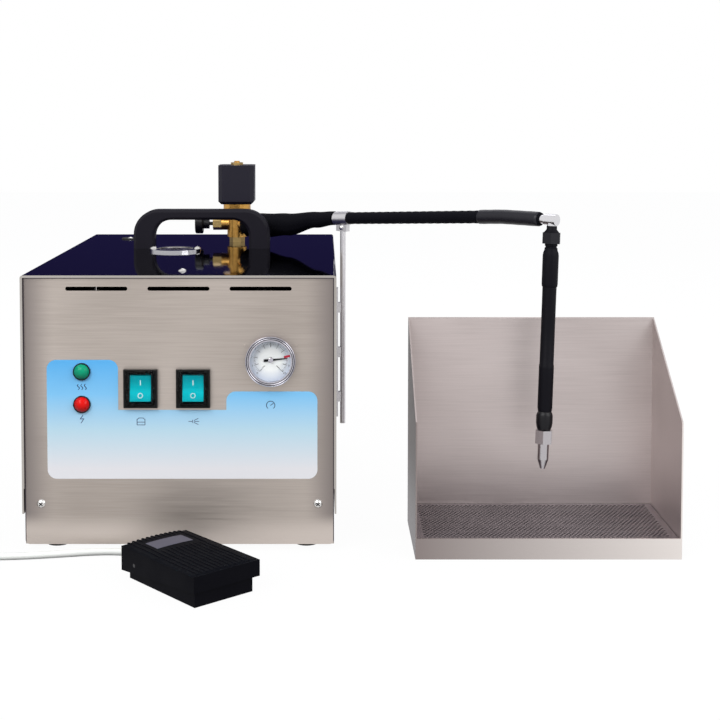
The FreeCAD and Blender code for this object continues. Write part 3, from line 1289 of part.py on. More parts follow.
def treadle_profile(inset, low):
    """Side outline of the treadle, drawn in by an inset, with its skirt let down by low."""
    front, back = inset - s.treadle_over, s.treadle_long - s.treadle_over - inset
    return [
        (front, s.skirt_front - low), (back, s.skirt_rear - low), (back, s.treadle_top - inset),
        (front, s.treadle_top - inset),
    ]


def pedal_treadle():
    """Pressed shell that tips on the pin, notched behind for the cable."""
    wide, wall = s.treadle_wide, s.treadle_wall
    shell = prism("YZ_Plane", treadle_profile(as_size(0), 0), wide, -s.treadle_over)
    room = prism("YZ_Plane", treadle_profile(wall, 10), wide - 2 * wall, wall - s.treadle_over)
    notch = block(14, 4, s.pedal_gland_z + s.pedal_gland_radius + 2, s.pedal_gland_x - 7,
                  s.treadle_long - s.treadle_over - 3)
    pin_hole = round_bar(s.hinge_pin + s.running_gap, wide, -s.treadle_over, s.hinge_y, s.hinge_z, "X")
    sub_part("pedal_treadle", cut(shell, room, notch, pin_hole), *pedal_spot)


def pedal_inside():
    """Hinge pin, return spring and contact switch of the pedal."""
    pin = round_bar(s.hinge_pin, s.treadle_wide, -s.treadle_over, s.hinge_y, s.hinge_z, "X")
    sub_part("pedal_pin", group(pin), *pedal_spot)
    under = s.treadle_top - s.treadle_wall
    floor = s.pedal_wall
    wire = number(s.spring_wire)
    tall = number(under - floor) - 2 * wire - 0.4
    radius = number(s.spring_radius) - wire
    turns = number(s.spring_turns)
    helix = Part.makeHelix(tall / turns, tall, radius)
    ring = Part.Wire(Part.makeCircle(wire, V(radius, 0, 0), V(0, 1, 0)))
    spring = Part.Wire(helix.Edges).makePipeShell([ring], True, True)
    standing = place(shaped(spring), s.pedal_base_wide / 2, s.spring_y, floor + s.spring_wire + 0.2)
    sub_part("pedal_spring", group(standing), *pedal_spot)
    middle = s.pedal_base_wide / 2
    switch = fused(
        block(18, 12, 13, middle - 9, s.hinge_y - 34, floor),
        round_bar(2.5, 18.2, middle, s.hinge_y - 28, floor),
    )
    sub_part("pedal_switch", switch, *pedal_spot)
    relief = taper(
        s.pedal_gland_radius, s.cable_radius + 0.6, s.pedal_gland_long,
        s.pedal_gland_x, s.pedal_base_long, s.pedal_gland_z, "Y",
    )
    sub_part("pedal_gland", group(relief), *pedal_spot)


def cable_route():
    """Corners of the pedal cable from its strain relief to the start of its coil, in the casing's frame."""
    rest = number(s.cable_radius) + 0.05
    away = number(s.pedal_base_long + s.pedal_gland_long)
    angle = math.radians(number(s.pedal_turn))
    across = number(s.pedal_gland_x)
    exit_x = number(s.pedal_x) + across * math.cos(angle) - away * math.sin(angle)
    exit_y = number(s.pedal_y) + across * math.sin(angle) + away * math.cos(angle)
    end_y = number(s.coil_y) - coil_radii()[0]
    return [
        V(exit_x, exit_y, number(s.pedal_gland_z)),
        V(exit_x - 10.5, exit_y + 12.1, 5.4),
        V(-48.5, -10.4, 3.6),
        V(-70.0, -8.9, 3.2),
        V(-101.0, -15.2, rest),
        V(-138.0, -21.4, rest),
        V(-171.0, end_y, rest),
        V(number(s.coil_x) + 2 * number(s.cable_radius), end_y, rest),
    ]


def coil_radii():
    """Radius of the coil's line at each half turn: in, up a layer, out again and a wider last half turn."""
    step = number(s.cable_radius) + 0.4
    inward = [44.0 - step * row for row in range(6)]
    inward[-1] -= 0.8
    return inward + inward[::-1] + [inward[0] + 8]


def coil_wire():
    """Line of the coil: a straight start, arcs between its half turns and a straight end."""
    step = 2 * number(s.cable_radius) + 0.5
    base = number(s.cable_radius) + 0.05
    radii = coil_radii()
    climb = radii.index(min(radii))
    centre = V(number(s.coil_x), number(s.coil_y), 0)
    straight = 2 * number(s.cable_radius)
    points, ways = [], []
    for row, radius in enumerate(radii):
        angle = -math.pi / 2 - row * math.pi
        height = base if row <= climb else base + step
        points.append(centre + V(radius * math.cos(angle), radius * math.sin(angle), height))
        ways.append(V(math.sin(angle), -math.cos(angle), 0))
    edges = [Part.LineSegment(points[0] - ways[0] * straight, points[0]).toShape()]
    for first, second, way_in, way_out in zip(points, points[1:], ways, ways[1:]):
        chord = second - first
        reach = chord.Length / 2
        knee_in, knee_out = first + way_in * reach, second - way_out * reach
        middle = (knee_in + knee_out) * 0.5
        edges.append(tangent_arc(first, way_in, middle))
        edges.append(tangent_arc(second, way_out * -1, middle))
    edges.append(Part.LineSegment(points[-1], points[-1] + ways[-1] * straight).toShape())
    return Part.Wire(Part.sortEdges(edges)[0])


def tangent_arc(start, way, end):
    """The arc that leaves start along a direction and reaches end."""
    chord = end - start
    across = chord - way * chord.dot(way)
    radius = chord.dot(chord) / (2 * across.Length)
    centre = start + across.normalize() * radius
    outward = ((start - centre) + (end - centre)).normalize()
    return Part.Arc(start, centre + outward * radius, end).toShape()


def pedal_cable():
    """Pedal cable on the table, its put-away coil and its plug."""
    points = cable_route()
    radii = []
    for before, corner, after in zip(points, points[1:], points[2:]):
        shorter = min((corner - before).Length, (after - corner).Length)
        bend = (corner - before).getAngle(after - corner)
        radii.append(0.45 * shorter / math.tan(bend / 2))
    print("cable radii", [round(radius) for radius in radii])
    path = bent_wire(points, radii)
    coil_path = coil_wire()
    print(f"cable {path.Length:.0f} mm and coil {coil_path.Length:.0f} mm")
    radius = number(s.cable_radius)
    sub_part("pedal_cable", shaped(tube(path, radius)))
    sub_part("cable_coil", shaped(tube(coil_path, radius)))
    print(f"coil's least gap to itself {least_gap(coil_path) - 2 * radius:.2f} mm")
    end = coil_path.Edges[-1].Vertexes[-1].Point
    zero = as_size(0)
    nose, long, thick = s.plug_nose, s.plug_nose + s.plug_long, s.plug_radius
    plug = turned([
        (zero, zero), (s.cable_radius + 0.5, zero), (s.cable_radius + 1.8, nose), (thick - 1.5, nose),
        (thick, nose + 2), (thick, long - 12), (thick - 1.2, long - 12), (thick - 1.2, long), (zero, long),
    ])
    sub_part("cable_plug", plug, end.x, end.y, end.z, TURN["-X"])


def least_gap(path):
    """Least distance between points of the path that lie more than a quarter turn apart."""
    points = path.discretize(Distance=3.0)
    apart = 16
    return min(
        first.distanceToPoint(second)
        for row, first in enumerate(points)
        for second in points[row + apart:]
    )


def check_and_write():
    """Stop if any object failed, then write each sub-part as a STEP file."""
    doc.recompute()
    for thing in doc.Objects:
        if "Invalid" in thing.State or "Error" in thing.State:
            raise ValueError(f"{thing.Label} failed: {thing.State}")
    os.makedirs("parts", exist_ok=True)
    for name, thing in sub_parts.items():
        if thing.Shape.isNull() or not thing.Shape.isValid():
            raise ValueError(f"{name} has no valid shape")
        thing.Shape.exportStep(f"parts/{name}.step")
    print(len(sub_parts), "sub-parts written")


outer_cover()
base_tray()
rubber_feet()
front_panel()
rear_panel()
casing_screws()
control_label()
switch_body("boiler_switch", s.switch_first_x)
switch_body("steam_switch", s.switch_second_x)
switch_rocker("boiler_rocker", s.switch_first_x)
switch_rocker("steam_rocker", s.switch_second_x)
switch_hoods()
lamps()
gauge()
carry_handle()
filler()
boiler()
boiler_cradle()
heating_element()
boiler_fittings()
control_board()
rear_fittings()
steam_valve()
solenoid_coil()
steam_arm()
clamp_and_rod()
lance()
booth()
grille()
pedal_base()
pedal_treadle()
pedal_inside()
pedal_cable()
check_and_write()
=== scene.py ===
import math

import bmesh
import bpy
from mathutils import Matrix, Vector
from mathutils.bvhtree import BVHTree


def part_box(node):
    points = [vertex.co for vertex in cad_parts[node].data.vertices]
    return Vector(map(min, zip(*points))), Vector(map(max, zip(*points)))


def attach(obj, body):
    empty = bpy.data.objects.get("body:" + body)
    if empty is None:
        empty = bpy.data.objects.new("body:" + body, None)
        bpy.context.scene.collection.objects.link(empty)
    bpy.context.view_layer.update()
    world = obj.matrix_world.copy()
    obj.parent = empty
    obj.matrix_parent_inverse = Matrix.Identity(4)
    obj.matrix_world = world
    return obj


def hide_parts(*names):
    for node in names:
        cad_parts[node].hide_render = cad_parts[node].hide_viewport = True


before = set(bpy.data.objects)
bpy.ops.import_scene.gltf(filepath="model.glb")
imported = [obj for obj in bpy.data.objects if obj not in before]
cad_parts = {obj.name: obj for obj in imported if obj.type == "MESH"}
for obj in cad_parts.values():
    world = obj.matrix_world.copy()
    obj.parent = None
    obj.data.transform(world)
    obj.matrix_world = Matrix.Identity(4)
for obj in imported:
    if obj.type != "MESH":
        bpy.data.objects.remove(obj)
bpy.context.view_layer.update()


# Camera, floor and light. The camera is nearly level and shifted, because upright edges are parallel in the
# photograph. Floor and backdrop are white to the camera and in reflections, but reflections that go to the
# back show a dark room, as the polished top does in the photograph.
scene = bpy.context.scene
scene.view_settings.view_transform = "Standard"
camera = bpy.data.objects.new("camera", bpy.data.cameras.new("camera"))
scene.collection.objects.link(camera)
camera.location = (-0.0223, -1.2855, 0.3804)
camera.rotation_euler = (math.radians(87), 0, 0)
camera.data.sensor_width = 36
camera.data.lens = 68.19
camera.data.shift_x = 0.0509
camera.data.shift_y = -0.2487
scene.camera = camera


def linear(colour):
    """An sRGB hex colour as the linear values that a socket holds."""
    parts = [int(colour[at:at + 2], 16) / 255 for at in (1, 3, 5)]
    return [part / 12.92 if part <= 0.04045 else ((part + 0.055) / 1.055) ** 2.4 for part in parts] + [1.0]


def add_node(tree, kind, inputs=None, **settings):
    """A node with its settings; an input is a value, a socket or a node, which gives its first output."""
    node = tree.nodes.new(kind)
    for name, value in settings.items():
        setattr(node, name, value)
    for name, value in (inputs or {}).items():
        value = value.outputs[0] if isinstance(value, bpy.types.Node) else value
        if isinstance(value, bpy.types.NodeSocket):
            tree.links.new(value, node.inputs[name])
        else:
            node.inputs[name].default_value = value
    return node


world = bpy.data.worlds.new("studio")
scene.world = world
world.use_nodes = True
sky = world.node_tree
sky.nodes.clear()
ray = add_node(sky, "ShaderNodeLightPath").outputs
camera_ray, glossy_ray, clear_ray = ray["Is Camera Ray"], ray["Is Glossy Ray"], ray["Is Transmission Ray"]
seen = add_node(sky, "ShaderNodeMath", {0: camera_ray, 1: glossy_ray}, operation="MAXIMUM")
seen = add_node(sky, "ShaderNodeMath", {0: seen, 1: clear_ray}, operation="MAXIMUM")
toward = add_node(sky, "ShaderNodeTexCoord").outputs["Generated"]
depth = add_node(sky, "ShaderNodeSeparateXYZ", {0: toward}).outputs["Y"]
behind = add_node(sky, "ShaderNodeMapRange", {"Value": depth, "From Min": 0.3, "From Max": 0.7})
mirrored = add_node(sky, "ShaderNodeMath", {0: behind, 1: glossy_ray}, operation="MULTIPLY")
room = add_node(sky, "ShaderNodeMix", {0: mirrored, 6: linear("#FFFFFF"), 7: linear("#221E45")},
                data_type="RGBA")
backdrop = add_node(sky, "ShaderNodeBackground", {"Color": room.outputs[2], "Strength": 1.0})
light = add_node(sky, "ShaderNodeBackground", {"Color": linear("#F8F9FF"), "Strength": 0.8})
mixed = add_node(sky, "ShaderNodeMixShader", {0: seen, 1: light, 2: backdrop})
add_node(sky, "ShaderNodeOutputWorld", {"Surface": mixed})

floor_level = -0.0003
floor_mesh = bpy.data.meshes.new("floor")
corners = [(x, y, floor_level) for x, y in ((-4, -3), (4, -3), (4, 5), (-4, 5))]
floor_mesh.from_pydata(corners, [], [(0, 1, 2, 3)])
floor = bpy.data.objects.new("floor", floor_mesh)
scene.collection.objects.link(floor)
table = bpy.data.materials.new("white table top")
table.use_nodes = True
top = table.node_tree
top.nodes.clear()
ray = add_node(top, "ShaderNodeLightPath").outputs
seen = add_node(top, "ShaderNodeMath", {0: ray["Is Camera Ray"], 1: ray["Is Glossy Ray"]},
                operation="MAXIMUM")
paint = add_node(top, "ShaderNodeBsdfDiffuse", {"Color": linear("#F4F4F4")})
glow = add_node(top, "ShaderNodeEmission", {"Color": linear("#FFFFFF"), "Strength": seen})
glow_share = 0.96
half = add_node(top, "ShaderNodeMixShader", {0: glow_share, 1: paint, 2: glow})
add_node(top, "ShaderNodeOutputMaterial", {"Surface": half})
floor_mesh.materials.append(table)

lamp_aim = Vector((0, 0, 0.12))
for name, place, size, power in (
    ("key", (-1.0, -1.5, 1.5), 1.4, 26),
    ("fill", (1.3, -1.1, 1.0), 1.2, 13),
    ("rear", (0.2, 1.3, 1.5), 1.4, 9),
):
    lamp = bpy.data.lights.new(name, "AREA")
    lamp.size = size
    lamp.energy = power
    lamp_object = bpy.data.objects.new(name, lamp)
    lamp_object.location = place
    lamp_object.rotation_euler = (lamp_aim - Vector(place)).to_track_quat("-Z", "Y").to_euler()
    scene.collection.objects.link(lamp_object)


# Pedal cable. A white PVC lead of two cores, extruded, 6 mm thick. It leaves the pedal behind, lies on
# the table to the left and ends in a round coil of six turns, put away as for storage.
def new_finish(name, colour, roughness, **sockets):
    """A material with one Principled shader, its tree, the shader and its Object coordinates."""
    finish = bpy.data.materials.new(name)
    finish.use_nodes = True
    tree = finish.node_tree
    shader = tree.nodes["Principled BSDF"]
    shader.inputs["Base Color"].default_value = linear(colour)
    shader.inputs["Roughness"].default_value = roughness
    for socket, value in sockets.items():
        shader.inputs[socket.replace("_", " ")].default_value = value
    where = add_node(tree, "ShaderNodeTexCoord").outputs["Object"]
    return finish, tree, shader, where


def wire(shader, name, source):
    """Links a socket, or a node's first output, to a named input of a shader."""
    socket = source.outputs[0] if isinstance(source, bpy.types.Node) else source
    shader.id_data.links.new(socket, shader.inputs[name])


def moulded(name, colour, roughness, grain=0.5, depth=0.03, **sockets):
    """Injection-moulded plastic: a spark-eroded grain, in millimetres, and a slightly uneven gloss."""
    finish, tree, shader, where = new_finish(name, colour, roughness, **sockets)
    spots = add_node(tree, "ShaderNodeTexNoise", {"Vector": where, "Scale": 1000 / grain, "Detail": 2.0})
    handling = add_node(tree, "ShaderNodeTexNoise", {"Vector": where, "Scale": 45.0, "Detail": 3.0})
    uneven = add_node(tree, "ShaderNodeMapRange", {
        "Value": handling, "To Min": roughness * 0.8, "To Max": min(1, roughness * 1.2)})
    wire(shader, "Roughness", uneven)
    relief = add_node(tree, "ShaderNodeBump", {"Distance": depth / 1000, "Height": spots})
    wire(shader, "Normal", relief)
    return finish


def dress(finish, *names):
    """Gives CAD nodes their material."""
    for name in names:
        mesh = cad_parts[name].data
        mesh.materials.clear()
        mesh.materials.append(finish)


def add_piece(name, mesh, finish, body, slot, *nodes):
    """A piece in the row frame that rides on a body and may stand for CAD nodes."""
    piece = bpy.data.objects.new(name, mesh)
    scene.collection.objects.link(piece)
    mesh.materials.clear()
    mesh.materials.append(finish)
    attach(piece, body)
    if nodes:
        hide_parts(*nodes)


cable_white = moulded("white PVC lead", "#EDEFEA", 0.42, grain=1.2, depth=0.02)
cable_thick = 0.006
route = [
    (-0.16750, -0.16267, 0.0060), (-0.17800, -0.15057, 0.0054), (-0.19460, -0.14035, 0.0036),
    (-0.21610, -0.13885, 0.0032), (-0.24710, -0.14515, 0.0031), (-0.28410, -0.15135, 0.0031),
    (-0.31710, -0.15195, 0.0031), (-0.36010, -0.15195, 0.0031),
]
coil_middle = Vector((-0.3661, -0.10795, 0))
inward = [0.0440, 0.0406, 0.0372, 0.0338, 0.0304, 0.0262]
plug_radius = 0.052
turn_radii = inward + inward[::-1] + [plug_radius]
lower_layer, upper_layer = 0.00305, 0.00955
layer_heights = [lower_layer] * 6 + [upper_layer] * 7
steps = 6
outside_arc = 1 / math.cos(math.pi / steps / 2)
for row in range(len(turn_radii) - 1):
    for step in range(steps):
        share = (step + 0.5) / steps
        angle = -math.pi / 2 - (row + share) * math.pi
        radius = (turn_radii[row] * (1 - share) + turn_radii[row + 1] * share) * outside_arc
        height = layer_heights[row] * (1 - share) + layer_heights[row + 1] * share
        spot = coil_middle + Vector((radius * math.cos(angle), radius * math.sin(angle), height))
        route.append(tuple(spot))
into_plug = coil_middle + Vector((0, -plug_radius, upper_layer))
route += [tuple(into_plug), tuple(into_plug - Vector((cable_thick, 0, 0)))]
cable_curve = bpy.data.curves.new("pedal_lead", "CURVE")
cable_curve.dimensions = "3D"
cable_curve.bevel_depth = cable_thick / 2
cable_curve.bevel_resolution = 5
cable_curve.resolution_u = 6
line = cable_curve.splines.new("NURBS")
line.points.add(len(route) - 1)
for point, spot in zip(line.points, route):
    point.co = (*spot, 1)
line.order_u = 3
line.use_endpoint_u = True
lead = bpy.data.objects.new("pedal_lead", cable_curve)
scene.collection.objects.link(lead)
cable_curve.materials.append(cable_white)
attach(lead, "appliance")
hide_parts("pedal_cable", "cable_coil")
dress(cable_white, "pedal_gland", "cable_plug")


# Casing. Folded stainless sheet, brushed along the front and mirror-polished on top, where a navy tone
# stands for the dark room that it reflects. The tray below it holds everything inside.
def brushed_steel(name, bright, dull, along, roughness=0.34):
    """Stainless sheet with a belt-ground grain along one axis and broad soft clouds."""
    finish, tree, shader, where = new_finish(name, bright, roughness, Metallic=1.0)
    # The real lines are about 0.1 mm apart; they are drawn at 0.7 mm so that they show.
    scale = [1 / 0.0007] * 3
    scale[along] = 1 / 0.045
    lines = add_node(tree, "ShaderNodeMapping", {"Vector": where, "Scale": scale})
    grain = add_node(tree, "ShaderNodeTexNoise", {"Vector": lines, "Scale": 1.0, "Detail": 2.0})
    cloud = add_node(tree, "ShaderNodeTexNoise", {"Vector": where, "Scale": 6.0, "Detail": 2.0})
    blend = add_node(tree, "ShaderNodeMath", {0: grain, 1: 0.35, 2: cloud}, operation="MULTIPLY_ADD")
    span = add_node(tree, "ShaderNodeMapRange", {"Value": blend, "From Min": 0.45, "From Max": 0.95})
    tone = add_node(tree, "ShaderNodeMix", {0: span, 6: linear(dull), 7: linear(bright)}, data_type="RGBA")
    wire(shader, "Base Color", tone.outputs[2])
    shine = add_node(tree, "ShaderNodeMapRange", {
        "Value": grain, "To Min": roughness - 0.07, "To Max": roughness + 0.1})
    wire(shader, "Roughness", shine)
    relief = add_node(tree, "ShaderNodeBump", {"Distance": 0.00002, "Height": grain})
    wire(shader, "Normal", relief)
    return finish, tree, shader, where, tone.outputs[2]


def handled_metal(name, colour, roughness, metallic=1.0):
    """Smooth metal with faint marks of handling, 1.5 mm across, that vary its gloss and relief."""
    finish, tree, shader, where = new_finish(name, colour, roughness, Metallic=metallic)
    marks = add_node(tree, "ShaderNodeTexNoise", {"Vector": where, "Scale": 1 / 0.0015, "Detail": 3.0})
    gloss = add_node(tree, "ShaderNodeMapRange", {
        "Value": marks, "To Min": roughness * 0.7, "To Max": roughness * 1.35})
    wire(shader, "Roughness", gloss)
    relief = add_node(tree, "ShaderNodeBump", {"Distance": 0.000012, "Height": marks})
    wire(shader, "Normal", relief)
    return finish


# The front sheet is painted darker towards its sides and lighter at its foot, as painted reflections of its
# surroundings, and a painted shadow runs along the cover's edge.
front_tones = "#C4BAB3", "#A39A93"
front_steel, tree, shader, where, tone = brushed_steel("brushed stainless front", *front_tones, 0, 0.46)
casing_middle, seam_side, seam_top = -0.1461, 0.1322, 0.2361
place = add_node(tree, "ShaderNodeSeparateXYZ", {0: where}).outputs
aside = add_node(tree, "ShaderNodeMath", {0: place["X"], 1: casing_middle}, operation="SUBTRACT").outputs[0]
aside = add_node(tree, "ShaderNodeMath", {0: aside}, operation="ABSOLUTE").outputs[0]
past_side = add_node(tree, "ShaderNodeMath", {0: aside, 1: seam_side}, operation="GREATER_THAN")
past_top = add_node(tree, "ShaderNodeMath", {0: place["Z"], 1: seam_top}, operation="GREATER_THAN")
seam = add_node(tree, "ShaderNodeMath", {0: past_side, 1: past_top}, operation="MAXIMUM")
# Painted shade towards the sides, a painted highlight at the foot, and painted shadow where the sheet passes
# under the cover.
toward_side = add_node(tree, "ShaderNodeMapRange", {"Value": aside, "From Min": 0.105, "From Max": 0.135},
                       interpolation_type="SMOOTHSTEP")
above_foot = add_node(tree, "ShaderNodeMapRange", {
    "Value": place["Z"], "From Min": 0.014, "From Max": 0.034}, interpolation_type="SMOOTHSTEP")
painted_side_shade = add_node(tree, "ShaderNodeMath", {0: toward_side, 1: above_foot}, operation="MULTIPLY")
sides = add_node(tree, "ShaderNodeMix", {0: painted_side_shade, 6: tone, 7: linear("#867E7B")}, data_type="RGBA")
foot = add_node(tree, "ShaderNodeMix", {0: above_foot, 6: linear("#C6BCB5"), 7: sides.outputs[2]},
                data_type="RGBA")
gap = add_node(tree, "ShaderNodeMix", {0: seam, 6: foot.outputs[2], 7: linear("#4A444A")}, data_type="RGBA")
wire(shader, "Base Color", gap.outputs[2])
dress(front_steel, "front_panel")
tray_steel = brushed_steel("brushed stainless tray", *front_tones, 0, 0.46)[0]
dress(tray_steel, "rear_panel", "base_tray")
cover_steel, tree, shader, where, tone = brushed_steel("polished stainless cover", "#C6C2BE", "#A8A29C", 1)
normal = add_node(tree, "ShaderNodeNewGeometry").outputs["Normal"]
facing = add_node(tree, "ShaderNodeSeparateXYZ", {0: normal}).outputs
upward = add_node(tree, "ShaderNodeMath", {0: facing["Z"], 1: 0.7}, operation="GREATER_THAN").outputs[0]
mirror = add_node(tree, "ShaderNodeMix", {0: upward, 6: tone, 7: linear("#1E1B42")}, data_type="RGBA")
wire(shader, "Base Color", mirror.outputs[2])
side_gloss, top_gloss = 0.32, 0.04
smooth = add_node(tree, "ShaderNodeMath", {0: upward, 1: top_gloss - side_gloss, 2: side_gloss},
                  operation="MULTIPLY_ADD")
wire(shader, "Roughness", smooth)
dress(cover_steel, "outer_cover")
foot_rubber = moulded("moulded rubber feet", "#151515", 0.8)
dress(foot_rubber, "rubber_feet")


# Screw heads. Domed, pressed steel, each with a cross recess drawn as a dark inlay of painted shade. A dark
# sheet of painted shade lies inside the rear vents, where the inside of the casing is in shadow.
def shaded(mesh, degrees=35):
    """Smooth shading with sharp edges kept."""
    mesh.shade_smooth()
    mesh.set_sharp_from_angle(angle=math.radians(degrees))
    return mesh


def drawn(name, verts, faces):
    """A mesh from points and faces."""
    mesh = bpy.data.meshes.new(name)
    mesh.from_pydata(verts, [], faces)
    return mesh


def plain_block(x1, y1, x2, y2, z1, z2):
    """A plain block between two corners."""
    verts = [(x, y, z) for z in (z1, z2) for x, y in ((x1, y1), (x2, y1), (x2, y2), (x1, y2))]
    faces = [(3, 2, 1, 0), (4, 5, 6, 7), (0, 1, 5, 4), (1, 2, 6, 5), (2, 3, 7, 6), (3, 0, 4, 7)]
    return drawn("block", verts, faces)


def joined(name, meshes):
    """One mesh from several."""
    work = bmesh.new()
    for mesh in meshes:
        work.from_mesh(mesh)
    mesh = bpy.data.meshes.new(name)
    work.to_mesh(mesh)
    work.free()
    return shaded(mesh)


# A dark material that paints shade: in the screws' cross recesses, inside the rear vents and in the gauge
# bezel's groove.
painted_shade_dark = moulded("painted dark shade", "#1C1B1E", 0.6)
screw_steel = handled_metal("bright zinc screws", "#D4D2D0", 0.22)
dress(screw_steel, "casing_screws")
screw_face, front_screw_level = -0.12925, 0.0413
cross_long, cross_wide, cross_deep = 0.0021, 0.00045, 0.001
recesses = []
for screw_x in (-0.2653, -0.0269):
    to_screw = Matrix.Translation((screw_x, screw_face, front_screw_level))
    for lean in (45, 135):
        bar = plain_block(-cross_long, 0, cross_long, cross_deep, -cross_wide, cross_wide)
        bar.transform(to_screw @ Matrix.Rotation(math.radians(lean), 4, "Y"))
        recesses.append(bar)
add_piece("screw_recesses", joined("screw_recesses", recesses), painted_shade_dark, "appliance", "black_plastic")
# A dark sheet of painted shade behind the rear vents, so the casing's inside reads dark through the slots.
screen = plain_block(-0.2441, 0.2488, -0.0481, 0.2500, 0.1470, 0.1980)
add_piece("vent_shade_sheet", screen, painted_shade_dark, "appliance", "black_plastic")


# Control film. A thin printed polycarbonate film with a notched outline, stuck on the panel. Its ink
# fades from sky blue at the top to a pale grey white; small pictograms stand where it has captions.
film, tree, shader, where = new_finish("printed control film", "#8FD0FF", 0.4, Coat_Weight=0.3)
height = add_node(tree, "ShaderNodeSeparateXYZ", {0: where}).outputs
rise = add_node(tree, "ShaderNodeMapRange", {"Value": height["Z"], "From Min": 0.072, "From Max": 0.164})
ink = add_node(tree, "ShaderNodeValToRGB", {0: rise})
ramp = ink.color_ramp
fade = ((0.0, "#EDEDF0"), (0.36, "#C2E3F2"), (0.7, "#82CCFA"), (1.0, "#58B6F4"))
while len(ramp.elements) < len(fade):
    ramp.elements.new(0.5)
for stop, (at, colour) in zip(ramp.elements, fade):
    stop.position = at
    stop.color = linear(colour)
wire(shader, "Base Color", ink)
dress(film, "control_label")


def strokes(name, lines, wide, face, middle):
    """Printed lines that face the front: each is a list of (across, up) points in millimetres."""
    verts, faces = [], []
    for points in lines:
        for begin, end in zip(points, points[1:]):
            begin, end = Vector(begin), Vector(end)
            along = (end - begin).normalized() * wide / 2
            beside = Vector((along.y, -along.x))
            start = len(verts)
            for corner in (begin - along + beside, end + along + beside,
                           end + along - beside, begin - along - beside):
                verts.append((middle[0] + corner.x / 1000, face, middle[1] + corner.y / 1000))
            faces.append((start, start + 1, start + 2, start + 3))
    return drawn(name, verts, faces)


def arc(radius, start, end, z=0, points=16):
    """Points on an arc, in degrees from the right."""
    turns = [math.radians(start + (end - start) * step / points) for step in range(points + 1)]
    return [(radius * math.cos(turn), z + radius * math.sin(turn)) for turn in turns]


print_ink = moulded("navy screen ink", "#24346C", 0.5, grain=0.4, depth=0.005)
film_face = -0.12735
lamp_x, boiler_x, steam_x, gauge_x = -0.2293, -0.1788, -0.1338, -0.0675
waves = [[(x + 0.9 * math.sin(step), step * 0.75 - 2.4) for step in range(7)] for x in (-3, 0, 3)]
bolt = [[(0.6, 3.2), (-1.6, 0.2), (1.4, 0.2), (-0.8, -3.2)]]
kettle = [
    [(-3.4, -3), (-3.4, 1.6), (-1.8, 3), (1.8, 3), (3.4, 1.6), (3.4, -3), (-3.4, -3)],
    [(-3.4, -0.6), (3.4, -0.6)],
]
jet = [[(-4, 0), (-0.8, 0)], [(-0.8, -1.1), (-0.8, 1.1)]]
jet += [[(0.6, 0.9), (4, 2.6)], [(0.8, 0), (4.6, 0)], [(0.6, -0.9), (4, -2.6)]]
meter = [arc(3.6, 225, -45), [(0, 0), (2.2, 1.6)]]
prints = [
    strokes("print", lines, wide, film_face, middle)
    for lines, wide, middle in (
        (waves, 0.55, (lamp_x, 0.1430)),
        (bolt, 0.6, (lamp_x, 0.1150)),
        (kettle, 0.5, (boiler_x, 0.1130)),
        (jet, 0.5, (steam_x, 0.1130)),
        (meter, 0.55, (gauge_x, 0.1270)),
    )
]
add_piece("film_pictograms", joined("film_pictograms", prints), print_ink, "appliance", "label_film")


# Rocker switches. Black nylon frames that snap into the panel, teal translucent rockers with a lamp
# behind them, and clear soft hoods that keep water out.
dress(moulded("black nylon switch frame", "#08080A", 0.28, Specular_IOR_Level=0.2), "boiler_switch",
      "steam_switch")
teal, tree, shader, where = new_finish("lit teal rocker", "#008C96", 0.25, Specular_IOR_Level=0.1)
shader.inputs["Emission Strength"].default_value = 0.4
lamp_level, lamp_reach = 0.1385, 0.011
lit = add_node(tree, "ShaderNodeSeparateXYZ", {0: where}).outputs["Z"]
away = add_node(tree, "ShaderNodeMath", {0: lit, 1: lamp_level}, operation="SUBTRACT")
away = add_node(tree, "ShaderNodeMath", {0: away}, operation="ABSOLUTE")
near_lamp = add_node(tree, "ShaderNodeMapRange", {"Value": away, "From Min": 0.0, "From Max": lamp_reach})
halo = add_node(tree, "ShaderNodeMix", {0: near_lamp, 6: linear("#00CCD8"), 7: linear("#005660")},
                data_type="RGBA")
wire(shader, "Emission Color", halo.outputs[2])
ribs = add_node(tree, "ShaderNodeTexWave", {"Vector": where, "Scale": 160.0}, bands_direction="Z")
relief = add_node(tree, "ShaderNodeBump", {"Distance": 0.00003, "Height": ribs.outputs["Fac"]})
wire(shader, "Normal", relief)
dress(teal, "boiler_rocker", "steam_rocker")
mark_white = moulded("white pad print", "#E8F4F2", 0.5, grain=0.4, depth=0.005)
switch_level, before_rockers, ink_thick = 0.1417, -0.2, 0.00008
on_off = [[(0, 3.4), (0, 7.0)], arc(1.9, 0, 360, z=-5.6, points=20)]
for body, x in (("boiler_rocker", boiler_x), ("steam_rocker", steam_x)):
    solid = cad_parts[body].data
    surface = BVHTree.FromPolygons([vertex.co for vertex in solid.vertices],
                                   [face.vertices[:] for face in solid.polygons])
    marks = strokes("marks", on_off, 0.7, before_rockers, (x, switch_level))
    for vertex in marks.vertices:
        hit = surface.ray_cast(vertex.co, Vector((0, 1, 0)))[0]
        vertex.co.y = hit.y - ink_thick
    add_piece(f"{body}_marks", marks, mark_white, body, "rocker_teal")
clear_hood = new_finish("clear PVC hood", "#E4F4F2", 0.12, Transmission_Weight=1.0, IOR=1.15, Alpha=0.18)[0]
dress(clear_hood, "switch_hoods")


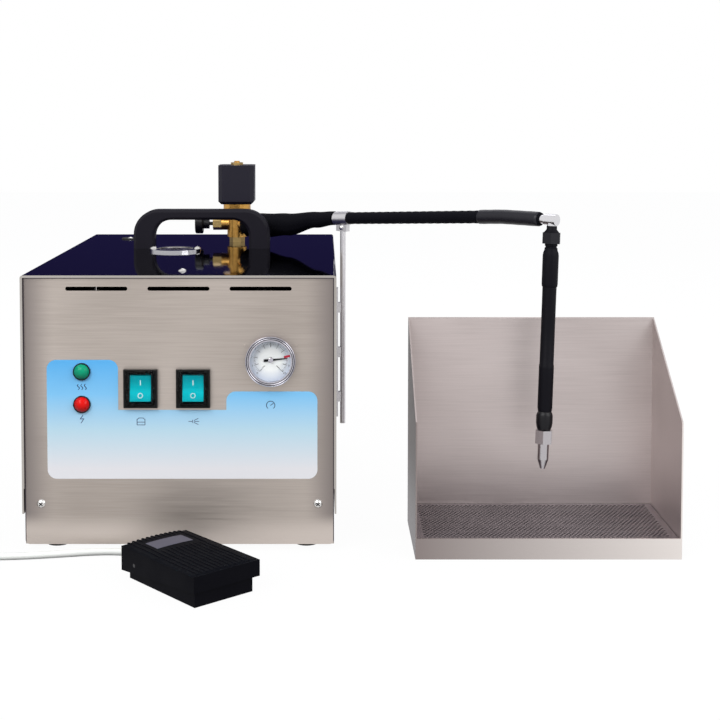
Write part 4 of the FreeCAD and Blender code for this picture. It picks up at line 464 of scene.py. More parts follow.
# Signal lamps. Domed polycarbonate lenses over small bulbs, cast with fine cells inside, in black rims
# that pass through the film.
def lens(name, bright, deep):
    """Tinted lens: deep at the rim and painted bright in the middle, a painted glow over the bulb where it
    faces the camera.
    """
    finish, tree, shader, where = new_finish(name, deep, 0.15, Specular_IOR_Level=0.15)
    # The facing mix is painted light: a glow in the middle and shade at the rim.
    rim = add_node(tree, "ShaderNodeLayerWeight", {"Blend": 0.45}).outputs["Facing"]
    painted_glow_tint = add_node(tree, "ShaderNodeMix", {0: rim, 6: linear(bright), 7: linear(deep)}, data_type="RGBA")
    wire(shader, "Base Color", painted_glow_tint.outputs[2])
    cells = add_node(tree, "ShaderNodeTexVoronoi", {"Vector": where, "Scale": 700.0})
    relief = add_node(tree, "ShaderNodeBump", {"Distance": 0.00012, "Height": cells.outputs["Distance"]})
    wire(shader, "Normal", relief)
    return finish


dress(lens("green lamp lens", "#04A076", "#006C50"), "heating_lamp")
dress(lens("red lamp lens", "#E60E0A", "#9C0408"), "fault_lamp")
dress(moulded("black ABS", "#0C0C10", 0.45, Specular_IOR_Level=0.2), "lamp_bezels", "mains_gland",
      "pedal_socket", "pedal_switch")


# Pressure gauge. A chromed steel case clamped behind the panel, with two beads and a groove on its bezel,
# the groove drawn as a dark ring of painted shade, a white printed dial under glass with painted shade
# towards its rim, and a black needle. Three spot welds of its clamp show round it.
def closed(mesh):
    """Joins points that coincide and turns every face outward."""
    work = bmesh.new()
    work.from_mesh(mesh)
    bmesh.ops.remove_doubles(work, verts=work.verts, dist=1e-6)
    bmesh.ops.recalc_face_normals(work, faces=work.faces)
    work.to_mesh(mesh)
    work.free()
    return mesh


def turned_mesh(name, profile, middle, way, sides=32, hollow=False):
    """A closed lathe form: (radius, distance) pairs along a direction, capped or joined into a ring."""
    way = Vector(way).normalized()
    across = way.cross(Vector((0, 0, 1)) if abs(way.z) < 0.9 else Vector((0, 1, 0))).normalized()
    above = across.cross(way)
    verts, faces = [], []
    for radius, distance in profile:
        for side in range(sides):
            angle = 2 * math.pi * side / sides
            reach = across * math.cos(angle) + above * math.sin(angle)
            verts.append(Vector(middle) + way * distance + reach * radius)
    for ring in range(len(profile) - 1):
        for side in range(sides):
            near, far = ring * sides, (ring + 1) * sides
            after = (side + 1) % sides
            faces.append((near + side, near + after, far + after, far + side))
    last = len(verts) - sides
    if hollow:
        afters = [(side + 1) % sides for side in range(sides)]
        faces += [(last + side, last + after, after, side) for side, after in enumerate(afters)]
    else:
        faces += [tuple(range(sides))[::-1], tuple(range(last, len(verts)))]
    return shaded(closed(drawn(name, verts, faces)))


chrome = handled_metal("chromed steel", "#B8B6BE", 0.12)
dress(chrome, "gauge_case")
frontward, upright = (0, -1, 0), (0, 0, 1)
gauge_level = 0.1657
gauge_middle = (gauge_x, gauge_level)
bezel_front = (gauge_x, -0.1335, gauge_level)
groove_inside, groove_outside, groove_thick = 0.01865, 0.0208, 0.00004
groove_profile = [(groove_inside, 0), (groove_inside, groove_thick), (groove_outside, groove_thick),
                  (groove_outside, 0)]
# The groove is a thin dark ring of painted shade.
groove = turned_mesh("bezel_groove", groove_profile, bezel_front, frontward, sides=64, hollow=True)
add_piece("bezel_groove", groove, painted_shade_dark, "appliance", "black_plastic")
bead_edge, bead_shoulder, bead_tall = 0.0002, 0.0004, 0.0006
beads = []
for inner, outer in ((0.0191, 0.0202), (0.0206, 0.02162)):
    bead_profile = [(inner, 0), (inner + bead_edge, bead_shoulder), ((inner + outer) / 2, bead_tall),
                    (outer - bead_edge, bead_shoulder), (outer, 0)]
    beads.append(turned_mesh("bead", bead_profile, bezel_front, frontward, sides=64, hollow=True))
add_piece("bezel_beads", joined("bezel_beads", beads), chrome, "appliance", "polished_steel")
dial_front = -0.1245
dial_pin = (gauge_x, dial_front, gauge_level)
dial, tree, shader, where = new_finish("white dial enamel", "#F1F4F4", 0.45)
from_pin = add_node(tree, "ShaderNodeVectorMath", {0: where, 1: dial_pin}, operation="DISTANCE")
# This mix paints shade: the dial turns darker and bluer towards its rim, under the bezel.
shade = add_node(tree, "ShaderNodeMapRange", {
    "Value": from_pin.outputs["Value"], "From Min": 0.009, "From Max": 0.0185})
ink = add_node(tree, "ShaderNodeMix", {0: shade, 6: linear("#F1F4F2"), 7: linear("#C9D3E2")},
               data_type="RGBA")
wire(shader, "Base Color", ink.outputs[2])
dress(dial, "gauge_dial")
black_enamel = moulded("black enamel", "#0A0A0E", 0.5, depth=0.005, Specular_IOR_Level=0.1)
dress(black_enamel, "gauge_needle")
gauge_glass = new_finish("gauge glass", "#FFFFFF", 0.03, Transmission_Weight=1.0, IOR=1.08, Alpha=0.22)[0]
dress(gauge_glass, "gauge_glass")


def node_group(name, **inputs):
    """A geometry node tree with named inputs and one output, and the sockets that bring the inputs in."""
    tree = bpy.data.node_groups.new(name, "GeometryNodeTree")
    for label, kind in inputs.items():
        tree.interface.new_socket(label, in_out="INPUT", socket_type=f"NodeSocket{kind}")
    tree.interface.new_socket("Geometry", in_out="OUTPUT", socket_type="NodeSocketGeometry")
    return tree, add_node(tree, "NodeGroupInput").outputs


def tick_tree():
    """Node tree that sets bars round an arc; its inputs are the radius, the count and the bar's size."""
    tree, given = node_group("dial ticks", Radius="Float", Count="Int", Long="Float", Wide="Float",
                             Ink="Material")
    ring = add_node(tree, "GeometryNodeCurveArc", {
        "Resolution": given["Count"], "Radius": given["Radius"], "Start Angle": math.radians(-45),
        "Sweep Angle": math.radians(270)}, mode="RADIUS")
    bar = add_node(tree, "GeometryNodeMeshGrid", {
        "Size X": given["Wide"], "Size Y": given["Long"], "Vertices X": 2, "Vertices Y": 2})
    turn = add_node(tree, "GeometryNodeInputTangent")
    angle = add_node(tree, "FunctionNodeAlignRotationToVector", {"Vector": turn}, axis="X")
    bars = add_node(tree, "GeometryNodeInstanceOnPoints", {
        "Points": ring.outputs["Curve"], "Instance": bar.outputs["Mesh"], "Rotation": angle})
    real = add_node(tree, "GeometryNodeRealizeInstances", {0: bars})
    inked = add_node(tree, "GeometryNodeSetMaterial", {"Geometry": real, "Material": given["Ink"]})
    add_node(tree, "NodeGroupOutput", {0: inked})
    return tree


def made_plain(holder):
    """The plain mesh that an object evaluates to; the object itself is taken away."""
    scene.collection.objects.link(holder)
    bpy.context.view_layer.update()
    ready = holder.evaluated_get(bpy.context.evaluated_depsgraph_get())
    mesh = bpy.data.meshes.new_from_object(ready)
    bpy.data.objects.remove(holder)
    return mesh


def grown(name, start_mesh, tree, values):
    """The plain mesh that a node tree makes from a start mesh with the given inputs."""
    holder = bpy.data.objects.new(name, start_mesh)
    modifier = holder.modifiers.new(name, "NODES")
    modifier.node_group = tree
    for item in tree.interface.items_tree:
        if item.in_out == "INPUT" and item.name in values:
            modifier[item.identifier] = values[item.name]
    return made_plain(holder)


def lettering(words, size, place):
    """Printed figures that face the front."""
    text = bpy.data.curves.new("figures", "FONT")
    text.body = words
    text.size = size
    text.align_x = "CENTER"
    text.align_y = "CENTER"
    mesh = made_plain(bpy.data.objects.new("figures", text))
    mesh.transform(Matrix.Translation(place) @ Matrix.Rotation(math.pi / 2, 4, "X"))
    return mesh


print_face = dial_front - 0.00005
to_dial = Matrix.Translation((gauge_x, print_face, gauge_level)) @ Matrix.Rotation(math.pi / 2, 4, "X")
ticks = tick_tree()
scale_parts = []
for radius, count, long, wide in ((0.0139, 51, 0.0016, 0.00025), (0.0129, 11, 0.0038, 0.0005)):
    part = grown("ticks", bpy.data.meshes.new("empty"), ticks,
                 {"Radius": radius, "Count": count, "Long": long, "Wide": wide, "Ink": black_enamel})
    part.transform(to_dial)
    scale_parts.append(part)
figure_ring, figure_size = 0.0164, 0.0027
first_turn, turn_apart = 225, 27
for number in range(11):
    turn = math.radians(first_turn - number * turn_apart)
    spot = (gauge_x + figure_ring * math.cos(turn), print_face, gauge_level + figure_ring * math.sin(turn))
    scale_parts.append(lettering(str(number), figure_size, spot))
end_marks = [[(side * 5.2, -5.2), (side * 7.4, -7.4)] for side in (-1, 1)]
scale_parts.append(strokes("ends", end_marks, 0.6, print_face, gauge_middle))
add_piece("dial_scale", joined("dial_scale", scale_parts), black_enamel, "appliance", "dial_white")
red_ink = moulded("red dial ink", "#C8203C", 0.5, depth=0.005)
red_line = [[(12.4, 2.6), (16.6, 3.6)]]
red_mark = strokes("red_mark", red_line, 2.0, print_face - 0.00004, gauge_middle)
add_piece("dial_red_mark", red_mark, red_ink, "appliance", "dial_white")
hub_profile = [(0.0021, 0), (0.0021, 0.0006), (0.0012, 0.001)]
needle_hub = turned_mesh("needle_hub", hub_profile, (gauge_x, -0.1262, gauge_level), frontward)
add_piece("needle_hub", needle_hub, chrome, "gauge_needle", "needle_black")
weld_profile = [(0.0013, 0), (0.0012, 0.00012), (0.0006, 0.0002)]
weld_ring, weld_face = 0.0255, -0.12695
welds = []
for turn in (math.radians(degrees) for degrees in (30, 150, 270)):
    spot = (gauge_x + weld_ring * math.cos(turn), weld_face, gauge_level + weld_ring * math.sin(turn))
    welds.append(turned_mesh("weld", weld_profile, spot, frontward, sides=12))
add_piece("gauge_welds", joined("gauge_welds", welds), tray_steel, "appliance", "casing_steel")


# Carry handle. A bow handle of glass-filled nylon with bevelled edges, held by two screws from below.
dress(moulded("charcoal nylon handle", "#16141C", 0.42, grain=0.7, depth=0.04, Specular_IOR_Level=0.14),
      "carry_handle")


# Filler. A polished steel ring held by two small screws round the cap of the water opening. Behind it,
# a black rubber washer lies under the cover's rear screw.
polished = handled_metal("polished stainless fittings", "#D8D7DA", 0.12)
dress(polished, "filler_ring", "filler_cap")
filler_x, filler_y, ring_top, ring_screw_reach = -0.1706, 0.07705, 0.2413, 0.0218
ring_screw_profile = [(0.0026, 0), (0.0026, 0.0008), (0.0018, 0.0016), (0.0006, 0.0019)]
ring_screws = []
for side in (-1, 1):
    spot = (filler_x + side * ring_screw_reach, filler_y, ring_top)
    ring_screws.append(turned_mesh("ring_screw", ring_screw_profile, spot, upright, sides=20))
add_piece("filler_screws", joined("filler_screws", ring_screws), screw_steel, "appliance", "polished_steel")
washer_profile = [(0.0090, 0), (0.0090, 0.0007), (0.0084, 0.0011), (0.0041, 0.0011), (0.0041, 0)]
rear_screw = (-0.2336, 0.20005, 0.2392)
washer = turned_mesh("rear_washer", washer_profile, rear_screw, upright, sides=40)
add_piece("rear_washer", washer, foot_rubber, "appliance", "rubber")


# Inside the casing. A welded stainless boiler on its skirt with its heating element, switches and pipe.
boiler_steel = brushed_steel("satin boiler steel", "#9E9C9A", "#84817E", 2, 0.4)[0]
dress(boiler_steel, "boiler", "boiler_cradle", "heating_element")
dress(moulded("glass-epoxy board", "#1E6B3A", 0.35), "control_board")
dress(handled_metal("drawn copper pipe", "#B8734A", 0.3), "gauge_pipe")


# Steam valve. A forged and turned brass body with plated nuts, a black encapsulated coil on its armature
# tube, and a small black knob that sets the flow.
brass, tree, shader, where = new_finish("forged brass", "#C7964A", 0.3, Metallic=1.0)
patina = add_node(tree, "ShaderNodeTexNoise", {"Vector": where, "Scale": 180.0, "Detail": 4.0})
warm = add_node(tree, "ShaderNodeMix", {0: patina, 6: linear("#B07A30"), 7: linear("#DDB064")},
                data_type="RGBA")
wire(shader, "Base Color", warm.outputs[2])
skin = add_node(tree, "ShaderNodeTexNoise", {"Vector": where, "Scale": 900.0, "Detail": 2.0})
relief = add_node(tree, "ShaderNodeBump", {"Distance": 0.00005, "Height": skin})
wire(shader, "Normal", relief)
dress(brass, "valve_body", "safety_valve", "pressure_switch", "drain_plug")
dress(handled_metal("worn nickel plate", "#B79C66", 0.3), "valve_nuts")
dress(polished, "valve_plunger")
dress(moulded("encapsulated coil", "#1C1A26", 0.4, grain=0.9, depth=0.05, Specular_IOR_Level=0.2),
      "solenoid_coil")
knob_plastic = moulded("black phenolic knob", "#0B0A0F", 0.35, Specular_IOR_Level=0.25)
dress(knob_plastic, "regulator_knob")


# Steam arm. A steel pipe in a black woven heat wrap with a shrink sleeve at its end, and a padded fabric
# boot over the hot end at the valve, bound tight towards the clamp. A rod on a rail holds the clamp.
valve_axis = Vector((-0.1146, 0.17065, 0))
arm_turn = math.radians(-42.8)
arm_way = Vector((math.cos(arm_turn), math.sin(arm_turn), 0))


def arm_level(along):
    """Height of the arm's line at a distance from the valve, with its bends rounded over 12 mm."""
    knees = ((0, 258.0), (58, 258.0), (120, 270.4), (345, 284.2), (420, 284.2))
    total = 0
    for step in range(9):
        at = along - 6 + 1.5 * step
        for (start, low), (end, high) in zip(knees, knees[1:]):
            if start <= at < end:
                total += low + (high - low) * (at - start) / (end - start)
    return total / 9


def skin_mesh(name, stations, sides=48, relief=None):
    """A closed skin through rings square to the arm: (distance, height or None, radius) in millimetres."""
    level_way, up_way = Vector((-arm_way.y, arm_way.x, 0)), Vector((0, 0, 1))
    verts, faces = [], []
    for along, level, radius in stations:
        height = arm_level(along) if level is None else level
        centre = valve_axis + (arm_way * along + up_way * height) / 1000
        for side in range(sides):
            angle = 2 * math.pi * side / sides
            reach = radius + (relief(along, angle) if relief else 0)
            spoke = level_way * math.cos(angle) + up_way * math.sin(angle)
            verts.append(centre + spoke * reach / 1000)
    for ring in range(len(stations) - 1):
        near, far = ring * sides, (ring + 1) * sides
        for side in range(sides):
            after = (side + 1) % sides
            faces.append((near + side, far + side, far + after, near + after))
    faces.append(tuple(range(sides)))
    faces.append(tuple(range(len(verts) - sides, len(verts)))[::-1])
    return shaded(closed(drawn(name, verts, faces)), 50)


def eased(knots, at):
    """A smooth value between (place, value) knots."""
    for (start, low), (end, high) in zip(knots, knots[1:]):
        if at <= end:
            share = (at - start) / (end - start)
            share = share * share * (3 - 2 * share)
            return low + (high - low) * share
    return knots[-1][1]


def wrinkles(along, angle):
    """Lengthwise folds of the boot, in millimetres, that fade towards its bound end."""
    fade = max(0.15, 1 - along / 150)
    fold = math.sin(7 * angle + 0.9 * math.sin(along / 9)) + 0.6 * math.sin(12 * angle - along / 14)
    return 0.32 * fade * fold


def cloth(name, colour, thread, bump):
    """Woven black sleeving: threads of a width, in metres, cross at a slant and stand up by the bump."""
    finish, tree, shader, where = new_finish(name, colour, 0.8, Specular_IOR_Level=0.08)
    along_arm = add_node(tree, "ShaderNodeMapping", {"Vector": where, "Rotation": (0, 0, -arm_turn)})
    cross = []
    for lean in (0.8, -0.8):
        slant = add_node(tree, "ShaderNodeMapping", {"Vector": along_arm, "Rotation": (0, lean, 0)})
        wave = add_node(tree, "ShaderNodeTexWave", {"Vector": slant, "Scale": 1 / thread / 6.28},
                        bands_direction="X")
        cross.append(wave.outputs["Fac"])
    weave = add_node(tree, "ShaderNodeMath", {0: cross[0], 1: cross[1]}, operation="MAXIMUM")
    relief = add_node(tree, "ShaderNodeBump", {"Distance": bump, "Height": weave})
    wire(shader, "Normal", relief)
    return finish


boot_radius = [(14.5, 10.2), (18.5, 12.3), (40, 12.5), (76, 11.4), (117, 8.1), (141.4, 6.9)]
boot_level = [(14.5, 258.0), (18.5, 258.4), (40, 258.8), (76, 261.9), (117, 268.9), (141.4, 271.8)]
boot_places = [14.5 + 1.41 * step for step in range(91)]
boot_rings = [(at, eased(boot_level, at), eased(boot_radius, at)) for at in boot_places]
boot_cloth = cloth("padded black boot", "#0A0A10", 0.0016, 0.00012)
add_piece("padded_boot", skin_mesh("boot", boot_rings, relief=wrinkles), boot_cloth, "appliance",
          "hose_black", "arm_boot")
wrap_radius, wrap_swell, wrap_lap = 5.85, 0.12, 9
wrap_places = [100 + 1.1 * step for step in range(261)]
wrap_rings = [(at, None, wrap_radius + wrap_swell * math.sin(2 * math.pi * at / wrap_lap))
              for at in wrap_places]
wrap_cloth = cloth("woven heat wrap", "#0B0B12", 0.0011, 0.00008)
add_piece("heat_wrap", skin_mesh("wrap", wrap_rings, sides=36), wrap_cloth, "appliance",
          "wrap_black", "arm_wrap")
sleeve_rings = [(320, None, 5.9), (320.6, None, 6.45)]
sleeve_rings += [(322 + 2 * step, None, 6.5 + 0.05 * math.sin(step)) for step in range(31)]
sleeve_rings += [(384.4, None, 6.4), (385, None, 5.9)]
shrink = moulded("black shrink sleeve", "#14131C", 0.38, grain=2.0, depth=0.06, Specular_IOR_Level=0.3)
add_piece("shrink_sleeve", skin_mesh("sleeve", sleeve_rings, sides=36), shrink, "appliance",
          "hose_black", "arm_sleeve")
clamp_steel = handled_metal("satin clamp steel", "#CFCDD0", 0.34)
dress(clamp_steel, "pipe_clamp", "support_rod")
dress(polished, "arm_pipe")
rail = [plain_block(-0.0111, 0.0632, -0.0076, 0.0712, 0.0740, 0.2030)]
for level in (0.0937, 0.1385, 0.1833):
    rail.append(plain_block(-0.0080, 0.0648, -0.0048, 0.0696, level - 0.005, level + 0.005))
add_piece("rod_rail", joined("rod_rail", rail), clamp_steel, "appliance", "casing_steel", "rod_brackets")
clamp_along, clamp_screw_level, clamp_half_wide = 0.1522, 0.2632, 0.0025
face_out = Vector((arm_way.y, -arm_way.x, 0))
clamp_spot = valve_axis + arm_way * clamp_along + face_out * clamp_half_wide
clamp_spot.z = clamp_screw_level
clamp_screw_profile = [(0.0024, 0), (0.0024, 0.0006), (0.0016, 0.0014), (0.0004, 0.0017)]
clamp_screw = turned_mesh("clamp_screw", clamp_screw_profile, clamp_spot, face_out, sides=20)
add_piece("clamp_screw", clamp_screw, screw_steel, "appliance", "polished_steel")


# Lance. It hangs from a plated elbow that swings on the arm's end: a short neck, a black nut, a rubber
# grip and tube with moulded rings, a black collar, a steel hexagon and the turned nozzle.
lance_top = Vector((0.17721, -0.09957, 0.2842))
lance_way = Vector((-0.03674, -0.03968, -0.99854)).normalized()
lance_rubber = moulded("black rubber hose", "#0D0C12", 0.5, grain=1.0, depth=0.05, Specular_IOR_Level=0.09)
stem = [
    (0.0046, 0.0207), (0.0055, 0.0210), (0.0055, 0.0226), (0.0049, 0.0230), (0.0049, 0.0240),
    (0.0056, 0.0244), (0.0057, 0.0262), (0.0066, 0.0285), (0.0070, 0.0310), (0.0070, 0.0560),
    (0.0067, 0.0580), (0.00615, 0.0586), (0.0061, 0.0900), (0.00615, 0.1264), (0.00645, 0.1269),
    (0.0065, 0.1300), (0.00645, 0.1640), (0.0060, 0.1672),
]
neck = [
    (0.0043, 0.0052), (0.0045, 0.0056), (0.0045, 0.0082), (0.0050, 0.0090), (0.0066, 0.0108),
    (0.0066, 0.0112),
]
collar = [
    (0.0058, 0.1673), (0.0068, 0.1690), (0.0073, 0.1708), (0.0073, 0.1775), (0.0066, 0.1812),
    (0.0056, 0.1836),
]
lance_stem = turned_mesh("lance_stem", stem, lance_top, lance_way)
add_piece("lance_stem", lance_stem, lance_rubber, "lance", "hose_black", "lance_tube")
lance_neck = turned_mesh("lance_neck", neck, lance_top, lance_way)
add_piece("lance_neck", lance_neck, lance_rubber, "lance", "hose_black")
lance_barrel = turned_mesh("lance_barrel", collar, lance_top, lance_way, sides=12)
add_piece("lance_barrel", lance_barrel, knob_plastic, "lance", "black_plastic", "lance_collar")
dress(polished, "lance_elbow")
dress(handled_metal("turned steel nozzle", "#B4B0B3", 0.2), "nozzle")
dress(handled_metal("black oxide nut", "#17161C", 0.35, metallic=0.6), "lance_nut")


# Booth. Folded and spot-welded stainless, open at the front and top, brushed from side to side. Its inside
# is painted lighter towards the right, its front lip has painted shade at the left and a painted highlight
# at the right, and its outer left face is painted dark as the shade that the casing casts.
booth_steel, tree, shader, where, tone = brushed_steel("brushed booth steel", "#D6CCCA", "#B4AAA8", 0, 0.4)
booth_left, booth_right, left_inner_face, lip_plane = 0.06, 0.28, 0.0560, -0.1485
normal = add_node(tree, "ShaderNodeNewGeometry").outputs["Normal"]
facing = add_node(tree, "ShaderNodeSeparateXYZ", {0: normal}).outputs
spot = add_node(tree, "ShaderNodeSeparateXYZ", {0: where}).outputs
# Painted light and shade by place: the inside lighter towards the right, the lip shaded at the left and lit
# at the right, and the outer left face dark with the casing's shade.
sideways = add_node(tree, "ShaderNodeMapRange", {
    "Value": spot["X"], "From Min": booth_left, "From Max": booth_right})
painted_light_sideways = add_node(tree, "ShaderNodeMix", {0: sideways, 6: linear("#F0EEEE"), 7: linear("#FFFFFF")},
                   data_type="RGBA")
lip_front = add_node(tree, "ShaderNodeMath", {0: spot["Y"], 1: lip_plane}, operation="LESS_THAN")
lip_shade = add_node(tree, "ShaderNodeMix", {
    0: sideways, 6: linear("#8E8482"), 7: linear("#E2DBD7")}, data_type="RGBA")
inner = add_node(tree, "ShaderNodeMix", {0: 1.0, 6: tone, 7: painted_light_sideways.outputs[2]}, data_type="RGBA",
                 blend_type="MULTIPLY")
front = add_node(tree, "ShaderNodeMix", {0: lip_front, 6: inner.outputs[2], 7: lip_shade.outputs[2]},
                 data_type="RGBA")
leftward = add_node(tree, "ShaderNodeMath", {0: facing["X"], 1: -0.7}, operation="LESS_THAN")
left_wall = add_node(tree, "ShaderNodeMath", {0: spot["X"], 1: left_inner_face}, operation="LESS_THAN")
outer_left = add_node(tree, "ShaderNodeMath", {0: leftward, 1: left_wall}, operation="MULTIPLY")
outside = add_node(tree, "ShaderNodeMix", {
    0: outer_left, 6: front.outputs[2], 7: linear("#5E585C")}, data_type="RGBA")
wire(shader, "Base Color", outside.outputs[2])
dress(booth_steel, "booth")


# Grille. A lift-out plate of perforated steel with round holes in staggered rows, darkened by use; the
# holes are punched, so a plain border is left all round.
def grille_tree():
    """Node tree that repeats a punched cell in staggered rows; its inputs are the pitches and the counts."""
    tree, given = node_group("punched rows", Cell="Geometry", Pitch="Float", Depth="Float", Columns="Int",
                             Rows="Int", Steel="Material")
    columns, rows = given["Columns"], given["Rows"]
    total = add_node(tree, "ShaderNodeMath", {0: columns, 1: rows}, operation="MULTIPLY")
    points = add_node(tree, "GeometryNodePoints", {"Count": total})
    index = add_node(tree, "GeometryNodeInputIndex").outputs[0]
    row = add_node(tree, "ShaderNodeMath", {0: index, 1: columns}, operation="DIVIDE")
    row = add_node(tree, "ShaderNodeMath", {0: row}, operation="FLOOR").outputs[0]
    column = add_node(tree, "ShaderNodeMath", {0: index, 1: columns}, operation="MODULO").outputs[0]
    odd = add_node(tree, "ShaderNodeMath", {0: row, 1: 2.0}, operation="MODULO").outputs[0]
    across = add_node(tree, "ShaderNodeMath", {0: odd, 1: 0.5, 2: column}, operation="MULTIPLY_ADD")
    across = add_node(tree, "ShaderNodeMath", {0: across, 1: given["Pitch"]}, operation="MULTIPLY")
    back = add_node(tree, "ShaderNodeMath", {0: row, 1: given["Depth"]}, operation="MULTIPLY")
    spot = add_node(tree, "ShaderNodeCombineXYZ", {0: across, 1: back})
    moved = add_node(tree, "GeometryNodeSetPosition", {"Geometry": points, "Position": spot})
    cells = add_node(tree, "GeometryNodeInstanceOnPoints", {"Points": moved, "Instance": given["Cell"]})
    real = add_node(tree, "GeometryNodeRealizeInstances", {0: cells})
    plate = add_node(tree, "GeometryNodeSetMaterial", {"Geometry": real, "Material": given["Steel"]})
    add_node(tree, "NodeGroupOutput", {0: plate})
    return tree


def punched_cell(pitch, row_pitch, hole, thick, edges=8):
    """One cell: a rectangle with a round hole, closed above, below and round the hole."""
    outline, rim = [], []
    for step in range(edges):
        angle = 2 * math.pi * step / edges
        cos, sin = math.cos(angle), math.sin(angle)
        reach = 1 / max(abs(cos), abs(sin))
        outline.append((cos * reach * pitch / 2, sin * reach * row_pitch / 2))
        rim.append((cos * hole, sin * hole))
    verts = [(x, y, z) for ring in (outline, rim) for z in (0, -thick) for x, y in ring]
    faces = []
    for step in range(edges):
        after = (step + 1) % edges
        faces.append((step, after, 2 * edges + after, 2 * edges + step))
        faces.append((edges + step, 3 * edges + step, 3 * edges + after, edges + after))
        faces.append((2 * edges + step, 2 * edges + after, 3 * edges + after, 3 * edges + step))
    return drawn("punched cell", verts, faces)


plate_steel, tree, shader, where = new_finish("punched steel plate", "#8E888C", 0.42, Metallic=1.0)
use = add_node(tree, "ShaderNodeTexNoise", {"Vector": where, "Scale": 14.0, "Detail": 4.0})
worn = add_node(tree, "ShaderNodeMix", {0: use, 6: linear("#6E686E"), 7: linear("#A29CA0")},
                data_type="RGBA")
wire(shader, "Base Color", worn.outputs[2])
low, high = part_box("grille")
under, over = low[2], high[2]
hole_pitch, hole_rows, hole_radius = 0.0038, 0.0034, 0.00135
side_border, front_border = 0.005, 0.004
columns = int((high[0] - low[0] - 2 * side_border) / hole_pitch)
rows = int((high[1] - low[1] - 2 * front_border) / hole_rows)
first_x = (low[0] + high[0] - (columns - 0.5) * hole_pitch) / 2
first_y = (low[1] + high[1] - (rows - 1) * hole_rows) / 2
punched = {"Pitch": hole_pitch, "Depth": hole_rows, "Columns": columns, "Rows": rows, "Steel": plate_steel}
cell = punched_cell(hole_pitch, hole_rows, hole_radius, over - under)
holes = grown("holes", cell, grille_tree(), punched)
holes.transform(Matrix.Translation((first_x, first_y, over)))
# Every other row starts half a pitch to the right; a short block fills the step at one end of each row.
half_pitch, half_row = hole_pitch / 2, hole_rows / 2
left, right = first_x - half_pitch, first_x + (columns - 0.5) * hole_pitch
near, far = first_y - half_row, first_y + (rows - 0.5) * hole_rows
bars = [
    plain_block(low[0], low[1], high[0], near, under, over),
    plain_block(low[0], far, high[0], high[1], under, over),
    plain_block(low[0], near, left, far, under, over),
    plain_block(right + half_pitch, near, high[0], far, under, over),
]
for row in range(rows):
    start, front = left if row % 2 else right, near + row * hole_rows
    bars.append(plain_block(start, front, start + half_pitch, front + hole_rows, under, over))
add_piece("punched_grille", joined("punched_grille", [holes] + bars), plate_steel, "grille", "grille_steel",
          "grille")


# Pedal. A moulded black base with a treadle that tips on a steel pin. The treadle's top is crowned and
# ribbed along its length against slipping, with a smooth place for a bare grey plate near its back.
pedal_plastic = moulded("black ABS pedal", "#05050B", 0.62, grain=0.9, depth=0.05, Specular_IOR_Level=0.05)
dress(pedal_plastic, "pedal_base", "pedal_treadle")
dress(moulded("blackened pin", "#1C1B20", 0.5), "pedal_pin")
# The spring is drawn at its pressed length, because a rigid one would come through the tipped treadle.
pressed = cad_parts["pedal_spring"].data.copy()
spring_seat, pressed_share = 0.0017, 0.78
for vertex in pressed.vertices:
    vertex.co.z = spring_seat + (vertex.co.z - spring_seat) * pressed_share
add_piece("pressed_spring", pressed, polished, "appliance", "polished_steel", "pedal_spring")
pedal_corner = Vector((-0.1206, -0.26235, 0))
to_pedal = Matrix.Translation(pedal_corner) @ Matrix.Rotation(math.radians(41.0), 4, "Z")
treadle_flat, treadle_middle, treadle_half = 25.0, 28, 31.0


def crown(x, y):
    """Height of the treadle's crowned top above its flat, in millimetres, at a place on it."""
    side = max(0.0, 1 - ((x - treadle_middle) / treadle_half) ** 2)
    back = eased([(-2.6, 0.3), (40, 0.5), (75, 1.0), (98, 1.0)], y)
    return 0.25 + 2.3 * side ** 0.6 * back


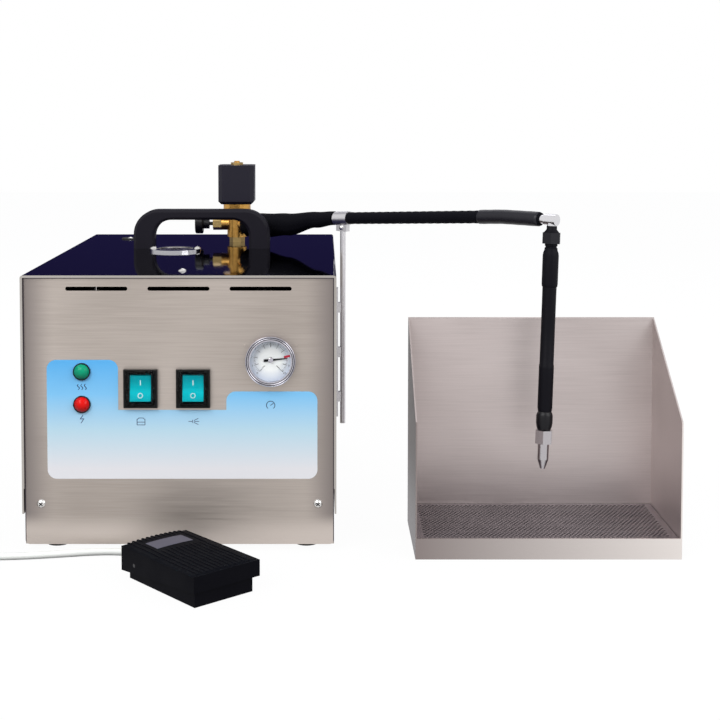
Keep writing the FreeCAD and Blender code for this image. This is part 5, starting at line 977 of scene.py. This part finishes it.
def crowned_patch(name, corner, size, counts, rise):
    """A grid of millimetres that follows the crown; rise gives its height from the crown and the rim."""
    (across, along), verts, faces = counts, [], []
    for j in range(along + 1):
        for i in range(across + 1):
            x, y = corner[0] + size[0] * i / across, corner[1] + size[1] * j / along
            at_rim = i in (0, across) or j in (0, along)
            verts.append((x / 1000, y / 1000, (treadle_flat + rise(crown(x, y), at_rim)) / 1000))
    for j in range(along):
        for i in range(across):
            start = j * (across + 1) + i
            faces.append((start, start + 1, start + across + 2, start + across + 1))
    mesh = drawn(name, verts, faces)
    mesh.transform(to_pedal)
    return shaded(mesh, 60)


rim_sunk, plate_lift = 0.2, 0.12
pad = crowned_patch("crowned_top", (-3.2, -1.8), (62.4, 99.4), (40, 40),
                    lambda height, at_rim: -rim_sunk if at_rim else height)
add_piece("treadle_crown", pad, pedal_plastic, "pedal_treadle", "pedal_black")
rib_count, rib_pitch, first_rib = 12, 4.5, 3.2
rib_front, rib_back, gap_front, gap_back = 0.5, 97.2, 62.5, 88.5
foot_half, top_half, rib_deep, rib_tall, end_tall = 1.1, 0.6, 0.6, 0.5, 0.1
rib_parts = []
for rib in range(rib_count):
    x = first_rib + rib_pitch * rib
    stretches = [(rib_front, gap_front), (gap_back, rib_back)] if 8 < x < 50 else [(rib_front, rib_back)]
    for start, end in stretches:
        verts, faces = [], []
        count = max(3, int((end - start) / 3))
        for step in range(count + 1):
            y = start + (end - start) * step / count
            level = treadle_flat + crown(x, y)
            foot, top = level - rib_deep, level + (rib_tall if 0 < step < count else end_tall)
            ring = [(x - foot_half, foot), (x - top_half, top), (x + top_half, top), (x + foot_half, foot)]
            verts += [(a / 1000, y / 1000, c / 1000) for a, c in ring]
        for near in range(0, 4 * count, 4):
            for side in range(4):
                after = (side + 1) % 4
                faces.append((near + side, near + after, near + 4 + after, near + 4 + side))
        faces += [(3, 2, 1, 0), tuple(range(count * 4, count * 4 + 4))]
        rib_mesh = drawn("rib", verts, faces)
        rib_mesh.transform(to_pedal)
        rib_parts.append(closed(rib_mesh))
add_piece("treadle_ribs", joined("treadle_ribs", rib_parts), pedal_plastic, "pedal_treadle", "pedal_black")
plate = crowned_patch("bare_plate", (11.4, 66.9), (35.3, 17.4), (8, 4),
                      lambda height, at_rim: height + plate_lift)
plate_grey = moulded("bare grey foil plate", "#55535F", 0.4, Specular_IOR_Level=0.1)
add_piece("bare_plate", plate, plate_grey, "pedal_treadle", "pedal_black")
